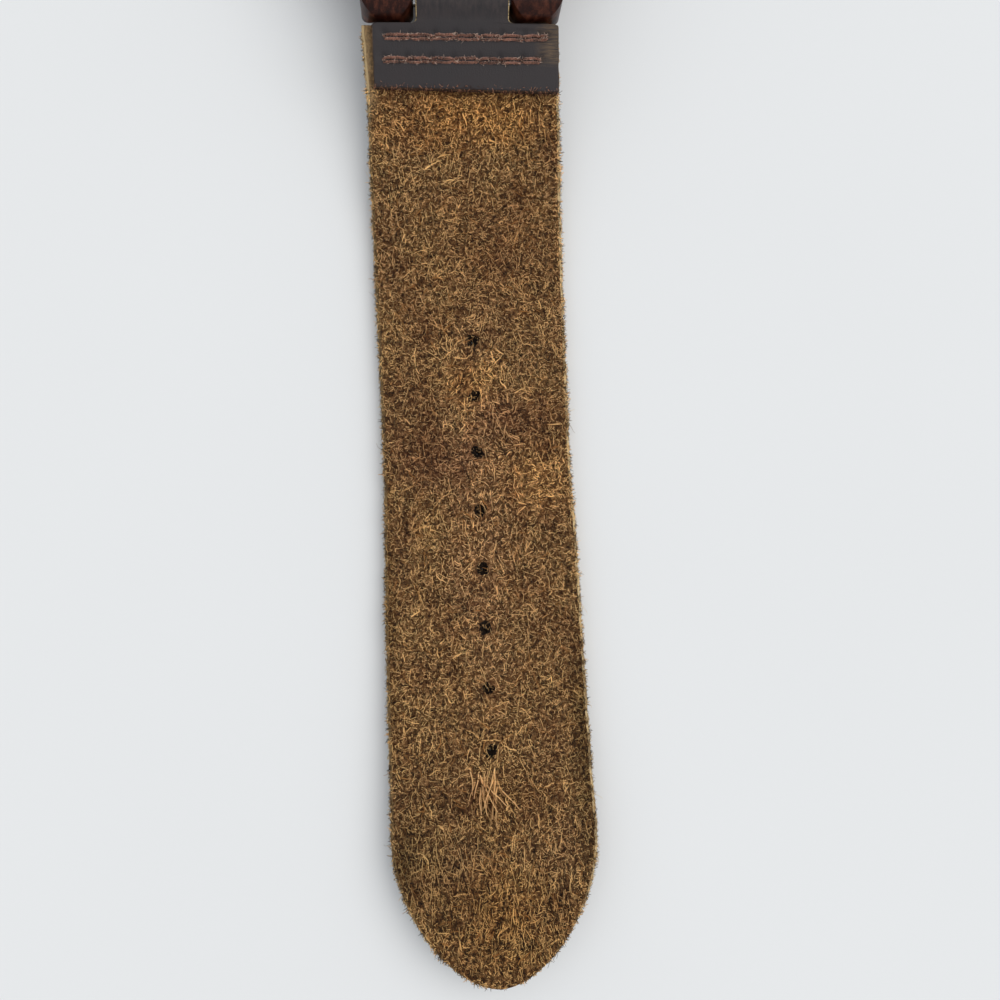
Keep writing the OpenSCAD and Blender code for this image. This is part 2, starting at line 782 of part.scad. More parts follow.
module rotor() {
    color([0.3, 0.3, 0.33])
        translate(rotor_xy)
        union() {
            arbor(plate_z1 - 0.4, bridge_z1 - 0.05);
            disc(0.7, plate_z1 + 0.12, seconds_wheel_z + wheel_t - 0.05);
            toothed_disc(6, pair_module(rotor_cd, 6, 36), inter_dir + 180,
                         inter_wheel_z - 0.04, inter_wheel_z + wheel_t + 0.04);
        }
}

// One plate of two legs that ends under the coil's core
module stator() {
    z0 = plate_z1 + 0.35;
    z1 = z0 + 0.3;
    color([0.55, 0.55, 0.57])
        difference() {
            union() {
                block(-6.3, -3.3, 2.7, 7.3, z0, z1);
                block(-6.3, 6.9, 6.5, 7.3, z0, z1);
                block(-6.3, -5.1, 7.2, 9.3, z0, z1);
                block(5.7, 6.9, 7.2, 9.3, z0, z1);
                for (x = [-5.7, 6.3])
                    translate([x, 6.9, 0]) disc(0.4, plate_z1, z0 + 0.1);
            }
            translate(rotor_xy) disc(0.95, z0 - 1, z1 + 1);
        }
}

// The winding on its core, whose ends lie on the stator's legs
module coil() {
    core_z0 = plate_z1 + 0.65;
    color([0.72, 0.38, 0.2])
        union() {
            translate([0, coil_y, core_z0 + 0.1]) bar_x(coil_w / 2 - 0.1, coil_l);
            block(-6.2, 6.8, coil_y - 0.4, coil_y + 0.4, core_z0, core_z0 + 0.3);
        }
}

module circuit_board() {
    color([0.16, 0.42, 0.28])
        block(-8.2, -2, -8.2, -3.8, plate_z1, plate_z1 + 0.3);
}

module timing_chip() {
    color([0.08, 0.08, 0.08])
        block(-7.4, -5.4, -6, -4.4, plate_z1 + 0.3, plate_z1 + 0.9);
}

module quartz_can() {
    color([0.8, 0.8, 0.82])
        translate([-5, -7.2, plate_z1 + 0.3 + 0.75]) bar_x(0.75, 5.2);
}

module battery() {
    color([0.8, 0.8, 0.8])
        translate(battery_xy)
        union() {
            disc(battery_d / 2, plate_z1 + 0.2, plate_z1 + battery_t);
            disc(battery_d / 2 - 0.7, plate_z1, plate_z1 + 0.3);
        }
}

// A spring strip from the circuit board over the battery
module battery_clip() {
    z1 = plate_z1 + battery_t + 0.2;
    x0 = battery_xy[0] - battery_d / 2 - 0.7;
    color([0.8, 0.75, 0.5])
        union() {
            block(x0 - 0.2, x0, -7.8, -6.2, plate_z1, z1);
            block(x0 - 0.2, battery_xy[0] + 1.5, -7.8, -6.2, z1 - 0.2, z1);
        }
}

module minute_wheel() {
    color([0.82, 0.68, 0.36])
        translate(minute_xy)
        union() {
            arbor(dial_z1 + 0.05, plate_z1 - 0.35);
            toothed_disc(30, setting_teeth_module(), mesh_turn(minute_dir, 10, 30, minute_dir),
                         minute_wheel_z, minute_wheel_z + wheel_t);
            toothed_disc(8, pair_module(motion_cd, 8, 32), minute_dir + 180,
                         hour_wheel_z - 0.02, hour_wheel_z + wheel_t + 0.04);
            disc(arbor_r + 0.1, hour_wheel_z, minute_wheel_z + 0.05);
        }
}

module hour_wheel() {
    color([0.82, 0.68, 0.36])
        difference() {
            union() {
                disc(hour_pipe_r, hour_hand_z - hand_t - 0.05, hour_wheel_z + wheel_t);
                toothed_disc(32, pair_module(motion_cd, 8, 32),
                             mesh_turn(minute_dir + 180, 8, 32, minute_dir + 180),
                             hour_wheel_z, hour_wheel_z + wheel_t);
            }
            disc(hour_bore_r, 0, plate_z1);
        }
}

module setting_wheel() {
    minute_turn = mesh_turn(minute_dir, 10, 30, minute_dir);
    color([0.82, 0.68, 0.36])
        translate(setting_xy)
        union() {
            arbor(dial_z1 + 0.05, plate_z1 - 0.35);
            toothed_disc(18, setting_teeth_module(), mesh_turn(minute_turn, 30, 18, setting_dir),
                         minute_wheel_z, minute_wheel_z + wheel_t);
        }
}

// Hands

module hand(turn, l, tail, w, hub_r, bore_r, z) {
    rotate(turn)
        difference() {
            union() {
                translate([0, 0, z - hand_t]) linear_extrude(height = hand_t)
                    polygon([[-w / 2, -tail], [w / 2, -tail], [w / 2, l * 0.75], [0, l], [-w / 2, l * 0.75]]);
                disc(hub_r, z - hand_t, z);
            }
            disc(bore_r, z - 1, z + 1);
        }
}

module hour_hand() {
    color([0.8, 0.78, 0.74])
        hand(hour_at, hour_l, 1.5, 1.3, 1.3, hour_pipe_r + fit, hour_hand_z);
}

module minute_hand() {
    color([0.8, 0.78, 0.74])
        hand(minute_at, minute_l, 2, 1, 1, pipe_r + fit, minute_hand_z);
}

module second_hand() {
    color([0.75, 0.3, 0.2])
        hand(second_at, second_l, 4, 0.35, 0.7, arbor_r + fit, second_hand_z);
}

// Spring bars, each with its place given by y

module bar_tube(y) {
    translate([0, y, bar_z])
        difference() {
            bar_x(bar_r, bar_tube_l);
            bar_x(bar_r - bar_wall, bar_tube_l + 1);
        }
}

module bar_tips(y) {
    plunger_r = bar_r - bar_wall - fit;
    inner_x = bar_tube_l / 2 - bar_plunger_l;
    for (side = [0, 1])
        translate([0, y, bar_z]) mirror([side, 0, 0])
            union() {
                translate([inner_x, 0, 0]) rotate([0, 90, 0]) cylinder(r = plunger_r, h = bar_plunger_l);
                translate([inner_x, 0, 0]) rotate([0, 90, 0])
                    cylinder(r = bar_tip_d / 2, h = lug_gap / 2 + bar_tip_l - inner_x);
            }
}

module bar_spring(y) {
    plunger_r = bar_r - bar_wall - fit;
    translate([0, y, bar_z])
        difference() {
            bar_x(plunger_r, bar_tube_l - 2 * bar_plunger_l - 0.04);
            bar_x(plunger_r - 0.2, bar_tube_l);
        }
}

module long_bar_tube() {
    color([0.7, 0.7, 0.71]) bar_tube(-bar_y);
}

module long_bar_tips() {
    color([0.6, 0.6, 0.62]) bar_tips(-bar_y);
}

module long_bar_spring() {
    color([0.5, 0.5, 0.52]) bar_spring(-bar_y);
}

module short_bar_tube() {
    color([0.7, 0.7, 0.71]) bar_tube(bar_y);
}

module short_bar_tips() {
    color([0.6, 0.6, 0.62]) bar_tips(bar_y);
}

module short_bar_spring() {
    color([0.5, 0.5, 0.52]) bar_spring(bar_y);
}

// Straps, each built along +Y

// The narrow end between the lugs, looped round the spring bar, and the turned-back end
module lug_end(long, inset_side) {
    tongue = lug_gap - 2 * ease + 0.1;
    union() {
        side_extrude(tongue) polygon(strap_band(long, 0, shoulder + 1, -strap_t + 0.3, flap_t, 4));
        translate([0, bar_y, bar_z]) bar_x(loop_r, tongue);
        translate([inset_side * flap_inset / 2, 0, 0]) side_extrude(strap_w - flap_inset)
            polygon(strap_band(long, shoulder, shoulder + flap_l, -0.4, flap_t, 8));
    }
}

module spring_bar_bore() {
    translate([0, bar_y, bar_z]) bar_x(bar_bore_r, strap_w);
}

module long_outline() {
    half = strap_w / 2;
    ogive_l = sqrt(tip_r * tip_r - pow(tip_r - half, 2));
    base_y = bar_y + long_l - ogive_l;
    z0 = -strap_t;
    z1 = back_z1 + tip_rise;
    union() {
        block(-half, half, bar_y, base_y, z0, z1);
        intersection() {
            translate([tip_r - half, base_y, z0]) cylinder(r = tip_r, h = z1 - z0);
            translate([half - tip_r, base_y, z0]) cylinder(r = tip_r, h = z1 - z0);
            block(-half, half, base_y - 0.5, bar_y + long_l + 1, z0, z1);
        }
    }
}

module long_strap() {
    color([0.48, 0.33, 0.19])
        rotate(180)
        difference() {
            union() {
                intersection() {
                    side_extrude(strap_w) polygon(strap_band(true, shoulder, long_l + 1, -strap_t, 0, 56));
                    long_outline();
                }
                lug_end(true, -1);
            }
            spring_bar_bore();
            for (i = [0 : holes - 1])
                translate([0, bar_y + hole_start + hole_pitch * i, -5]) cylinder(r = hole_d / 2, h = 20);
        }
}

module short_strap() {
    color([0.48, 0.33, 0.19])
        difference() {
            union() {
                side_extrude(strap_w) polygon(strap_band(false, shoulder, short_l, -strap_t, 0, 40));
                lug_end(false, 1);
                // The end looped round the buckle's bar and turned back
                translate([0, buckle_y, buckle_z]) bar_x(loop_r, strap_w);
                block(-strap_w / 2, strap_w / 2, buckle_y - flap_l, buckle_y, short_flat_z - 0.4,
                      short_flat_z + flap_t);
            }
            spring_bar_bore();
            translate([0, buckle_y, buckle_z]) bar_x(bar_bore_r, strap_w + 2);
            block(-notch_w / 2, notch_w / 2, buckle_y - notch_l, buckle_y + 5, 0, 20);
        }
}

// One row of thread across a strap: bars on both faces joined through the needle holes
module stitch_row(top, bottom) {
    first_x = -stitches_in_row * stitch_pitch / 2;
    r = thread_d / 2;
    union() {
        for (i = [0 : stitches_in_row - 1])
            for (z = [bottom, top])
                translate([first_x + stitch_pitch * (i + 0.5), 0, z]) bar_x(r, stitch_pitch - thread_d);
        for (i = [0 : stitches_in_row - 1])
            for (end = [0, 1])
                translate([first_x + stitch_pitch * (i + end) + (1 - 2 * end) * thread_d / 2, 0, bottom])
                    cylinder(r = r * 0.8, h = top - bottom);
    }
}

module lug_stitches(long) {
    for (row = [0, 1]) {
        u = shoulder + first_row + row_pitch * row;
        at = strap_point(long, u, 0);
        ahead = strap_point(long, u + 0.1, 0);
        translate([0, at[0], at[1]])
            rotate([atan2(ahead[1] - at[1], ahead[0] - at[0]), 0, 0])
            stitch_row(flap_t, -strap_t);
    }
}

module long_stitches() {
    color([0.35, 0.26, 0.24]) rotate(180) lug_stitches(true);
}

module short_stitches() {
    color([0.35, 0.26, 0.24]) lug_stitches(false);
}

module buckle_stitches() {
    color([0.35, 0.26, 0.24])
        translate([0, buckle_y - flap_l + first_row, short_flat_z]) stitch_row(flap_t, -strap_t);
}

// Keepers and buckle

module keeper(y) {
    inner_x = strap_w / 2 + ease;
    inner_z = short_flat_z + ease / 2;
    difference() {
        block(-inner_x - keeper_t, inner_x + keeper_t, y - keeper_w / 2, y + keeper_w / 2,
              0, inner_z + keeper_t);
        block(-inner_x, inner_x, y - keeper_w, y + keeper_w, keeper_t, inner_z);
    }
}

module fixed_keeper() {
    color([0.25, 0.17, 0.12]) keeper(fixed_keeper_y);
}

module free_keeper() {
    color([0.25, 0.17, 0.12]) keeper(free_keeper_y);
}

module buckle_arm() {
    // The arm falls from the strap's bar to the end bar on the table
    end_top = end_bar_z + end_bar_r * 0.8;
    end_low = end_bar_z - end_bar_r * 0.8;
    union() {
        side_extrude(arm_w)
            polygon([
                [0, buckle_z - buckle_arm_t / 2], [buckle_l, end_low], [buckle_l, end_top],
                [0, buckle_z + buckle_arm_t / 2]
            ]);
        translate([0, 0, buckle_z]) bar_x(buckle_arm_t / 2 + 0.3, arm_w);
    }
}

module buckle_frame() {
    color([0.72, 0.72, 0.73])
        translate([0, buckle_y, 0])
        difference() {
            union() {
                for (x = [-arm_x - arm_w / 2, arm_x + arm_w / 2])
                    translate([x, 0, 0]) buckle_arm();
                translate([0, buckle_l, end_bar_z]) bar_x(end_bar_r, 2 * (arm_x + arm_w));
            }
            // The notch that the tongue's tip lies in, and the bores of the buckle's bar
            block(-tongue_w / 2 - 0.3, tongue_w / 2 + 0.3, buckle_l - 3, buckle_l + 3, -1, tongue_t + 0.25);
            translate([0, 0, buckle_z]) bar_x(bar_r + fit, 2 * (arm_x + arm_w - 0.4));
        }
}

module buckle_tongue() {
    tip_y = buckle_l + end_bar_r + 0.5;
    color([0.72, 0.72, 0.73])
        translate([0, buckle_y, 0])
        difference() {
            union() {
                translate([0, 0, buckle_z]) bar_x(tongue_eye_r, tongue_w);
                side_extrude(tongue_w)
                    polygon([
                        [0, buckle_z - tongue_eye_r], [buckle_l - 2.6, 0.05], [tip_y, 0.05],
                        [tip_y, tongue_t - 0.35], [tip_y - 0.4, tongue_t + 0.05],
                        [buckle_l - 2.4, tongue_t + 0.05], [0, buckle_z - tongue_eye_r + tongue_t]
                    ]);
            }
            translate([0, 0, buckle_z]) bar_x(bar_bore_r, tongue_w + 1);
        }
}

module buckle_bar() {
    color([0.65, 0.65, 0.67])
        translate([0, buckle_y, buckle_z]) bar_x(bar_r, 2 * (arm_x + arm_w - 0.45));
}

crystal();
crystal_gasket();
bezel();
dial_flange();
dial();
hour_markers();
case_body();
screw_inserts();
case_back();
case_back_gasket();
case_back_screws();
movement_holder();
crown_tube();
crown();
crown_gasket();
winding_stem();
sliding_pinion();
yoke();
setting_lever();
setting_wheel();
minute_wheel();
hour_wheel();
cannon_pinion();
centre_wheel();
third_wheel();
seconds_wheel();
intermediate_wheel();
rotor();
stator();
coil();
main_plate();
train_bridge();
bridge_screws();
circuit_board();
timing_chip();
quartz_can();
battery();
battery_clip();
hour_hand();
minute_hand();
second_hand();
long_bar_tube();
long_bar_tips();
long_bar_spring();
short_bar_tube();
short_bar_tips();
short_bar_spring();
long_strap();
long_stitches();
short_strap();
short_stitches();
buckle_stitches();
fixed_keeper();
free_keeper();
buckle_frame();
buckle_tongue();
buckle_bar();
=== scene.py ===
import math

import bpy
import bmesh
import numpy as np
from mathutils import Matrix, Vector, noise


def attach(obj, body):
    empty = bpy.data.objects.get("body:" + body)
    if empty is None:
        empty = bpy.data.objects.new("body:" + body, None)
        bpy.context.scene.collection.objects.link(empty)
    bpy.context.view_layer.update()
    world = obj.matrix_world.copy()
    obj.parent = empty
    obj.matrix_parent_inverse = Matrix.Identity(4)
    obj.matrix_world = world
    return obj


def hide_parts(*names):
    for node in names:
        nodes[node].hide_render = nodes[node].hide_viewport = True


# Wooden wristwatch, lying face down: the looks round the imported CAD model, in metres
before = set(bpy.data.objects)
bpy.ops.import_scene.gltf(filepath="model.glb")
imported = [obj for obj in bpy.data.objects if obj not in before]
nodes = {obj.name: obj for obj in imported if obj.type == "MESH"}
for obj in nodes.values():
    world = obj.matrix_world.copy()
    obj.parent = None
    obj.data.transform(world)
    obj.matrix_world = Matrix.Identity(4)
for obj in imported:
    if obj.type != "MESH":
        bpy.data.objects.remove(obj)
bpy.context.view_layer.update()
mm = 0.001
print("loaded", len(nodes), "CAD nodes")


# Camera, floor and light, set as in the photograph
view = {"lens": 32.4, "place": (-6.96, -100.49, 112.06), "tilt": -7.10, "roll": -2.638, "yaw": -4.931}
studio = {"floor": (0.80, 0.82, 0.84), "floorSize": 40.0, "floorGap": 0.00003, "sky": (0.97, 0.985, 1.0),
          "world": 0.72, "key": 1.12, "keyAngle": 56.0, "keyFrom": (0.62, 0.06, 1.0),
          "keyColour": (1.0, 0.96, 0.90)}


def placeCamera():
    tilt, roll, yaw = (math.radians(view[key]) for key in ("tilt", "roll", "yaw"))
    turn = Matrix.Rotation(roll, 3, "Z") @ Matrix.Rotation(tilt, 3, "X") @ Matrix.Rotation(yaw, 3, "Y")
    turn = turn @ Matrix(((1, 0, 0), (0, -1, 0), (0, 0, -1)))
    right, down, ahead = turn[0], turn[1], turn[2]
    camera = bpy.data.objects.new("camera", bpy.data.cameras.new("camera"))
    camera.data.lens = view["lens"]
    camera.data.sensor_width = 36
    camera.data.clip_start = 0.005
    camera.data.clip_end = 50
    place = Matrix((right, -down, -ahead)).transposed().to_4x4()
    place.translation = Vector(view["place"]) * mm
    camera.matrix_world = place
    bpy.context.scene.collection.objects.link(camera)
    bpy.context.scene.camera = camera


placeCamera()


class Wire:
    # One output in a node tree, so that a sum of two outputs is written as a sum
    def __init__(self, tree, socket=None):
        self.tree = tree
        self.socket = socket

    def node(self, kind, settings=None, values=None, out=0):
        made = self.tree.nodes.new(kind)
        for key, value in (settings or {}).items():
            if key == "stops":
                ramp = made.color_ramp.elements
                while len(ramp) > 1:
                    ramp.remove(ramp[-1])
                ramp[0].position, ramp[0].color = value[0]
                for at, colour in value[1:]:
                    ramp.new(at).color = colour
            else:
                setattr(made, key, value)
        for key, value in (values or {}).items():
            if isinstance(value, Wire):
                self.tree.links.new(value.socket, made.inputs[key])
            else:
                made.inputs[key].default_value = value
        return Wire(self.tree, made.outputs[out])

    def math(self, operation, *values):
        return self.node("ShaderNodeMath", {"operation": operation}, dict(enumerate(values)))

    def vector(self, operation, *values, out=0):
        return self.node("ShaderNodeVectorMath", {"operation": operation}, dict(enumerate(values)), out)

    def scale(self, factor):
        return self.node("ShaderNodeVectorMath", {"operation": "SCALE"}, {0: self, "Scale": factor})

    def part(self, axis):
        # X, Y or Z of a vector, counted from 0
        return self.node("ShaderNodeSeparateXYZ", {}, {0: self}, axis)

    def __abs__(self):
        return self.math("ABSOLUTE", self)

    def __add__(self, other):
        return self.math("ADD", self, other)

    __radd__ = __add__

    def __sub__(self, other):
        return self.math("SUBTRACT", self, other)

    def __rsub__(self, other):
        return self.math("SUBTRACT", other, self)

    def __mul__(self, other):
        return self.math("MULTIPLY", self, other)

    __rmul__ = __mul__

    def __truediv__(self, other):
        return self.math("DIVIDE", self, other)

    def __pow__(self, other):
        return self.math("POWER", self, other)


def rgb(red, green, blue):
    # A screen colour of 0 to 255 as Blender's linear colour
    parts = [c / 255 for c in (red, green, blue)]
    return tuple(c / 12.92 if c < 0.04045 else ((c + 0.055) / 1.055) ** 2.4 for c in parts) + (1.0,)


def coordinates(material):
    # Object coordinates in mm
    return Wire(material.node_tree).node("ShaderNodeTexCoord", out="Object").scale(1000.0)


def startMaterial(name, constants):
    material = bpy.data.materials.new(name)
    material.use_nodes = True
    shader = material.node_tree.nodes["Principled BSDF"]
    for key, value in constants.items():
        shader.inputs[key].default_value = value
    return material, shader, coordinates(material)


def feed(shader, key, wire):
    wire.tree.links.new(wire.socket, shader.inputs[key])


def cloud(at, size, detail=2.0, rough=0.5, shift=(0, 0, 0), turn=0.0, out=0):
    # Noise whose spots have the given size in mm, or sizes along three axes turned about Z
    size = (size, size, size) if isinstance(size, (int, float)) else size
    placed = at.node("ShaderNodeMapping", {"vector_type": "TEXTURE"},
                     {"Vector": at, "Location": shift, "Rotation": (0, 0, turn), "Scale": size})
    return placed.node("ShaderNodeTexNoise", {}, {"Vector": placed, "Scale": 1.0, "Detail": detail,
                                                  "Roughness": rough}, out)


def warp(at, size, amount):
    # Bends a pattern by noise of the given size, in mm
    return at.vector("MULTIPLY_ADD", cloud(at, size, 1.0, out=1), (amount, amount, amount), at)


def span(value, low, high, toLow=0.0, toHigh=1.0):
    return value.node("ShaderNodeMapRange", {"clamp": True},
                      {0: value, 1: low, 2: high, 3: toLow, 4: toHigh})


def mix(factor, first, second, blend="MIX"):
    tree = next(w.tree for w in (factor, first, second) if isinstance(w, Wire))
    return Wire(tree).node("ShaderNodeMix", {"data_type": "RGBA", "blend_type": blend},
                           {0: factor, 6: first, 7: second}, 2)


def ramp(value, stops):
    return value.node("ShaderNodeValToRGB", {"stops": stops}, {0: value})


def bump(shader, height, depth, strength=1.0):
    # depth in mm
    made = height.node("ShaderNodeBump", {}, {"Strength": strength, "Distance": depth * mm, "Height": height})
    feed(shader, "Normal", made)


def strands(at, turn, width, length, shift):
    # Thin lines that run along one direction: stretched noise folded at its middle
    folded = cloud(at, (width, length, width * 2), 1.5, 0.5, (shift, shift * 0.7, 0), turn)
    return 1 - abs(folded * 2 - 1) * 3.2


def raggedRim(at):
    return cloud(at, 2.2, 2.0) * 0.9


def spot(at, rim, x, y, wide, long):
    # 1 in the middle of an oval on the strap and 0 outside it, with a ragged rim
    placed = at.vector("MULTIPLY_ADD", at, (1 / wide, 1 / long, 0), (-x / wide, -y / long, 0))
    return span(placed.vector("LENGTH", placed, out="Value") + rim, 1.55, 0.75)


# The spring bars between the lugs, and how the leather loops round them
bar = {"y": 25.2, "z": 8.9, "bore": 0.96, "loop": 2.21}

# Where the rough side is golden, maroon or greenish dark, and two edge spots that are painted light: a
# painted highlight on the right edge and painted shade on the left.
# Columns: x, distance from the spring bar, half sizes, tint
suedeSpotsAndEdgeLight = [
    (0.0, 13.0, 15.0, 4.5, (1.22, 1.10, 0.92)), (-0.5, 46.5, 4.5, 3.5, (1.24, 1.20, 1.06)),
    (4.0, 30.0, 10.0, 9.0, (0.92, 0.87, 0.86)), (6.5, 51.5, 7.0, 5.0, (0.80, 0.72, 0.76)),
    (-6.0, 56.5, 7.0, 5.0, (0.84, 0.77, 0.80)), (7.5, 59.5, 5.5, 5.0, (1.36, 1.30, 1.20)),
    (11.8, 92.0, 2.4, 18.0, (0.50, 0.50, 0.46)), (-10.6, 104.0, 2.2, 5.0, (0.56, 0.56, 0.54)),
    # (-11.6, 74.0) below darkens the left edge: painted shade on the side away from the light
    (-11.6, 74.0, 1.3, 24.0, (0.70, 0.68, 0.62)), (0.0, 112.0, 13.0, 9.0, (0.92, 0.88, 0.78)),
    # (11.9, 30.0) below lightens the right edge: painted highlight on the side facing the light
    (-11.9, 6.5, 0.9, 4.5, (1.9, 2.0, 1.9)), (11.9, 30.0, 0.9, 30.0, (1.2, 1.2, 1.2)),
    (0.5, 109.0, 5.0, 5.0, (1.06, 1.02, 0.92)), (0.0, 62.0, 5.0, 28.0, (1.15, 1.13, 1.20)),
    (-8.0, 102.0, 6.0, 12.0, (0.80, 0.80, 0.78)), (2.0, 98.0, 7.0, 5.0, (0.90, 0.87, 0.84)),
]


def suedeTintAndEdgeLight(at, seed):
    # Soft patches that tint the rough side and its fibres alike, with the edge spots' painted highlight and
    # painted shade
    patches = cloud(at, (7, 11, 9), 3.0, 0.6, (seed, 3, 0))
    dark = cloud(at, (3.5, 5, 5), 2.0, 0.5, (seed, 11, 4))
    tint = mix(span(patches, 0.35, 0.65), (0.90, 0.84, 0.84, 1), (1.10, 1.07, 1.0, 1))
    tint = mix(1.0, tint, mix(span(dark, 0.5, 0.7), (1, 1, 1, 1), (0.80, 0.74, 0.74, 1)), "MULTIPLY")
    rim = raggedRim(at)
    for x, u, wide, long, colour in suedeSpotsAndEdgeLight:
        within = spot(at, rim, x, -bar["y"] - u, wide, long)
        tint = mix(1.0, tint, mix(within, (1, 1, 1, 1), colour + (1,)), "MULTIPLY")
    return tint


def suedeMaterial(name, seed):
    # The felt under the standing fibres: short curled strands, with painted shade darkening the gaps between
    # them
    material, shader, at = startMaterial(name, {"Roughness": 0.95, "Specular IOR Level": 0.1})
    bent = warp(warp(at, 0.7, 0.8), 0.25, 0.2)
    web = None
    for turn, width, length in ((0.5, 0.13, 0.8), (-0.6, 0.12, 0.7), (1.35, 0.13, 0.6), (-1.2, 0.12, 0.8)):
        line = strands(bent, turn, width, length, seed + turn * 7)
        web = line if web is None else web.math("MAXIMUM", web, line)
    lumps = cloud(at, 0.45, 3.0, 0.65)
    height = span(web, -0.2, 1.0) * 0.6 + lumps * 0.6
    # Colour by bump height: the felt's own tone, with the low gaps painted near black as shade
    fibre = ramp(span(height, 0.38, 0.95), [
        (0.0, rgb(12, 6, 5)), (0.4, rgb(34, 20, 14)), (0.68, rgb(82, 56, 36)), (0.88, rgb(142, 106, 70)),
        (1.0, rgb(200, 158, 110))])
    # Pale split leather shows beside the turned-back end of the long strap
    split = spot(at, raggedRim(at), -12.5, -31.5, 2.0, 9.0)
    fibre = mix(1.0, fibre, suedeTintAndEdgeLight(at, seed), "MULTIPLY")
    feed(shader, "Base Color", mix(split * 0.8, fibre, rgb(176, 150, 114)))
    bump(shader, height, 0.35)
    return material


def grainMaterial(name, tint, seed):
    # Smooth side of the leather: fine pebbles, a few faint creases, a dull shine, brown where it is worn
    material, shader, at = startMaterial(name, {"Specular IOR Level": 0.3})
    pebbles = at.node("ShaderNodeTexVoronoi", {"feature": "F1"},
                      {"Vector": warp(at, 0.5, 0.15), "Scale": 5.5})
    crease = strands(warp(at, 2.5, 1.6), 0.1, 0.6, 6.0, seed)
    mottled = cloud(at, 1.2, 4.0, 0.65, (seed, 0, 0))
    broad = cloud(at, 6.0, 2.0, 0.5, (0, seed, 2))
    darker, lighter = rgb(*[c * 0.92 for c in tint]), rgb(*[min(255, c * 1.07) for c in tint])
    warmer = rgb(tint[0] * 1.16, tint[1] * 1.03, tint[2] * 0.98)
    base = mix(span(mottled, 0.3, 0.7), darker, lighter)
    base = mix(span(broad, 0.45, 0.75) * 0.35, base, warmer)
    x, y = at.part(0), at.part(1)
    # Worn end beside the right shoulder of the long strap, and the tongue that the wrist rubs
    streaks = cloud(at, (1.6, 0.16, 0.5), 3.0, 0.6)
    shoulder = span(x, 8.8, 10.8) * span(y, -33.0, -32.0) * span(y, -26.0, -27.0) * span(streaks, 0.35, 0.6)
    base = mix(shoulder * 0.75, base, rgb(100, 82, 64))
    rub = span(abs(y), 28.2, 26.5) * span(cloud(at, (0.5, 2.2, 1), 3.0, 0.6), 0.4, 0.7)
    base = mix(rub * 0.3, base, rgb(88, 76, 72))
    feed(shader, "Base Color", base)
    feed(shader, "Roughness", span(mottled, 0.25, 0.75, 0.5, 0.68))
    height = pebbles * 0.45 + span(crease, 0.5, 1.0) * 0.12 + mottled * 0.35 + streaks * shoulder * 1.2
    bump(shader, height, 0.045)
    return material


def edgeMaterial(name, light, dark, neck=None, cream=None):
    # Raw cut edge: layered pale fibres, soiled in places. Cream along the right side, where the soil noise
    # leaves it, is a painted highlight from the light on that side;
    # at the left shoulder it is the edge's own pale colour. neck is the tint of the narrow end between the
    # lugs
    material, shader, at = startMaterial(name, {"Roughness": 0.85, "Specular IOR Level": 0.2})
    layers = cloud(at, (0.5, 0.5, 0.12), 3.0, 0.6)
    soil = cloud(at, 1.3, 3.0, 0.6, (5, 0, 0))
    base = mix(span(soil * 0.6 + layers * 0.5, 0.38, 0.72), rgb(*dark), rgb(*light))
    if cream:
        x, y = at.part(0), at.part(1)
        # Painted highlight: cream along the right edge, which faces the light, broken up by the soil noise
        base = mix(span(x, 8, 11.5) * span(soil, 0.4, 0.6), base, rgb(*cream))
        base = mix(span(x, -11, -11.6) * span(y, -39, -36) * 0.7, base, rgb(*cream))
    if neck:
        narrow = span(abs(at.part(0)), 7.2, 6.6) * span(abs(at.part(1)), 29.2, 28.6)
        base = mix(narrow, base, mix(span(layers, 0.35, 0.6), rgb(*dark), rgb(*neck)))
    feed(shader, "Base Color", base)
    bump(shader, layers + cloud(at, 0.15, 2.0) * 0.5, 0.12)
    return material


def fibreMaterial(name, dark, light, patched=False):
    # Each fibre has its own tone between the two colours. A patched one takes the rough side's tints, with
    # their painted edge highlight and painted edge shade
    material, shader, at = startMaterial(name, {"Specular IOR Level": 0.2})
    tone = at.node("ShaderNodeAttribute", {"attribute_name": "tone"}, out="Fac")
    along = cloud(at, 0.4, 2.0)
    base = mix(span(tone, 0.32, 0.85) ** 2.2 * 2.3 + along * 0.3 - 0.14, rgb(*dark), rgb(*light))
    feed(shader, "Base Color", mix(1.0, base, suedeTintAndEdgeLight(at, 2.0), "MULTIPLY") if patched else base)
    feed(shader, "Roughness", span(along, 0.3, 0.7, 0.6, 0.8))
    return material


def threadMaterial(name, dark, light):
    material, shader, at = startMaterial(name, {"Roughness": 0.8, "Specular IOR Level": 0.25,
                                                "Sheen Weight": 0.3})
    lint = cloud(at, 0.12, 3.0, 0.6)
    worn = cloud(at, 1.1, 2.0)
    feed(shader, "Base Color", mix(span(lint * 0.75 + worn * 0.45, 0.46, 0.74), rgb(*dark), rgb(*light)))
    bump(shader, lint, 0.05)
    return material


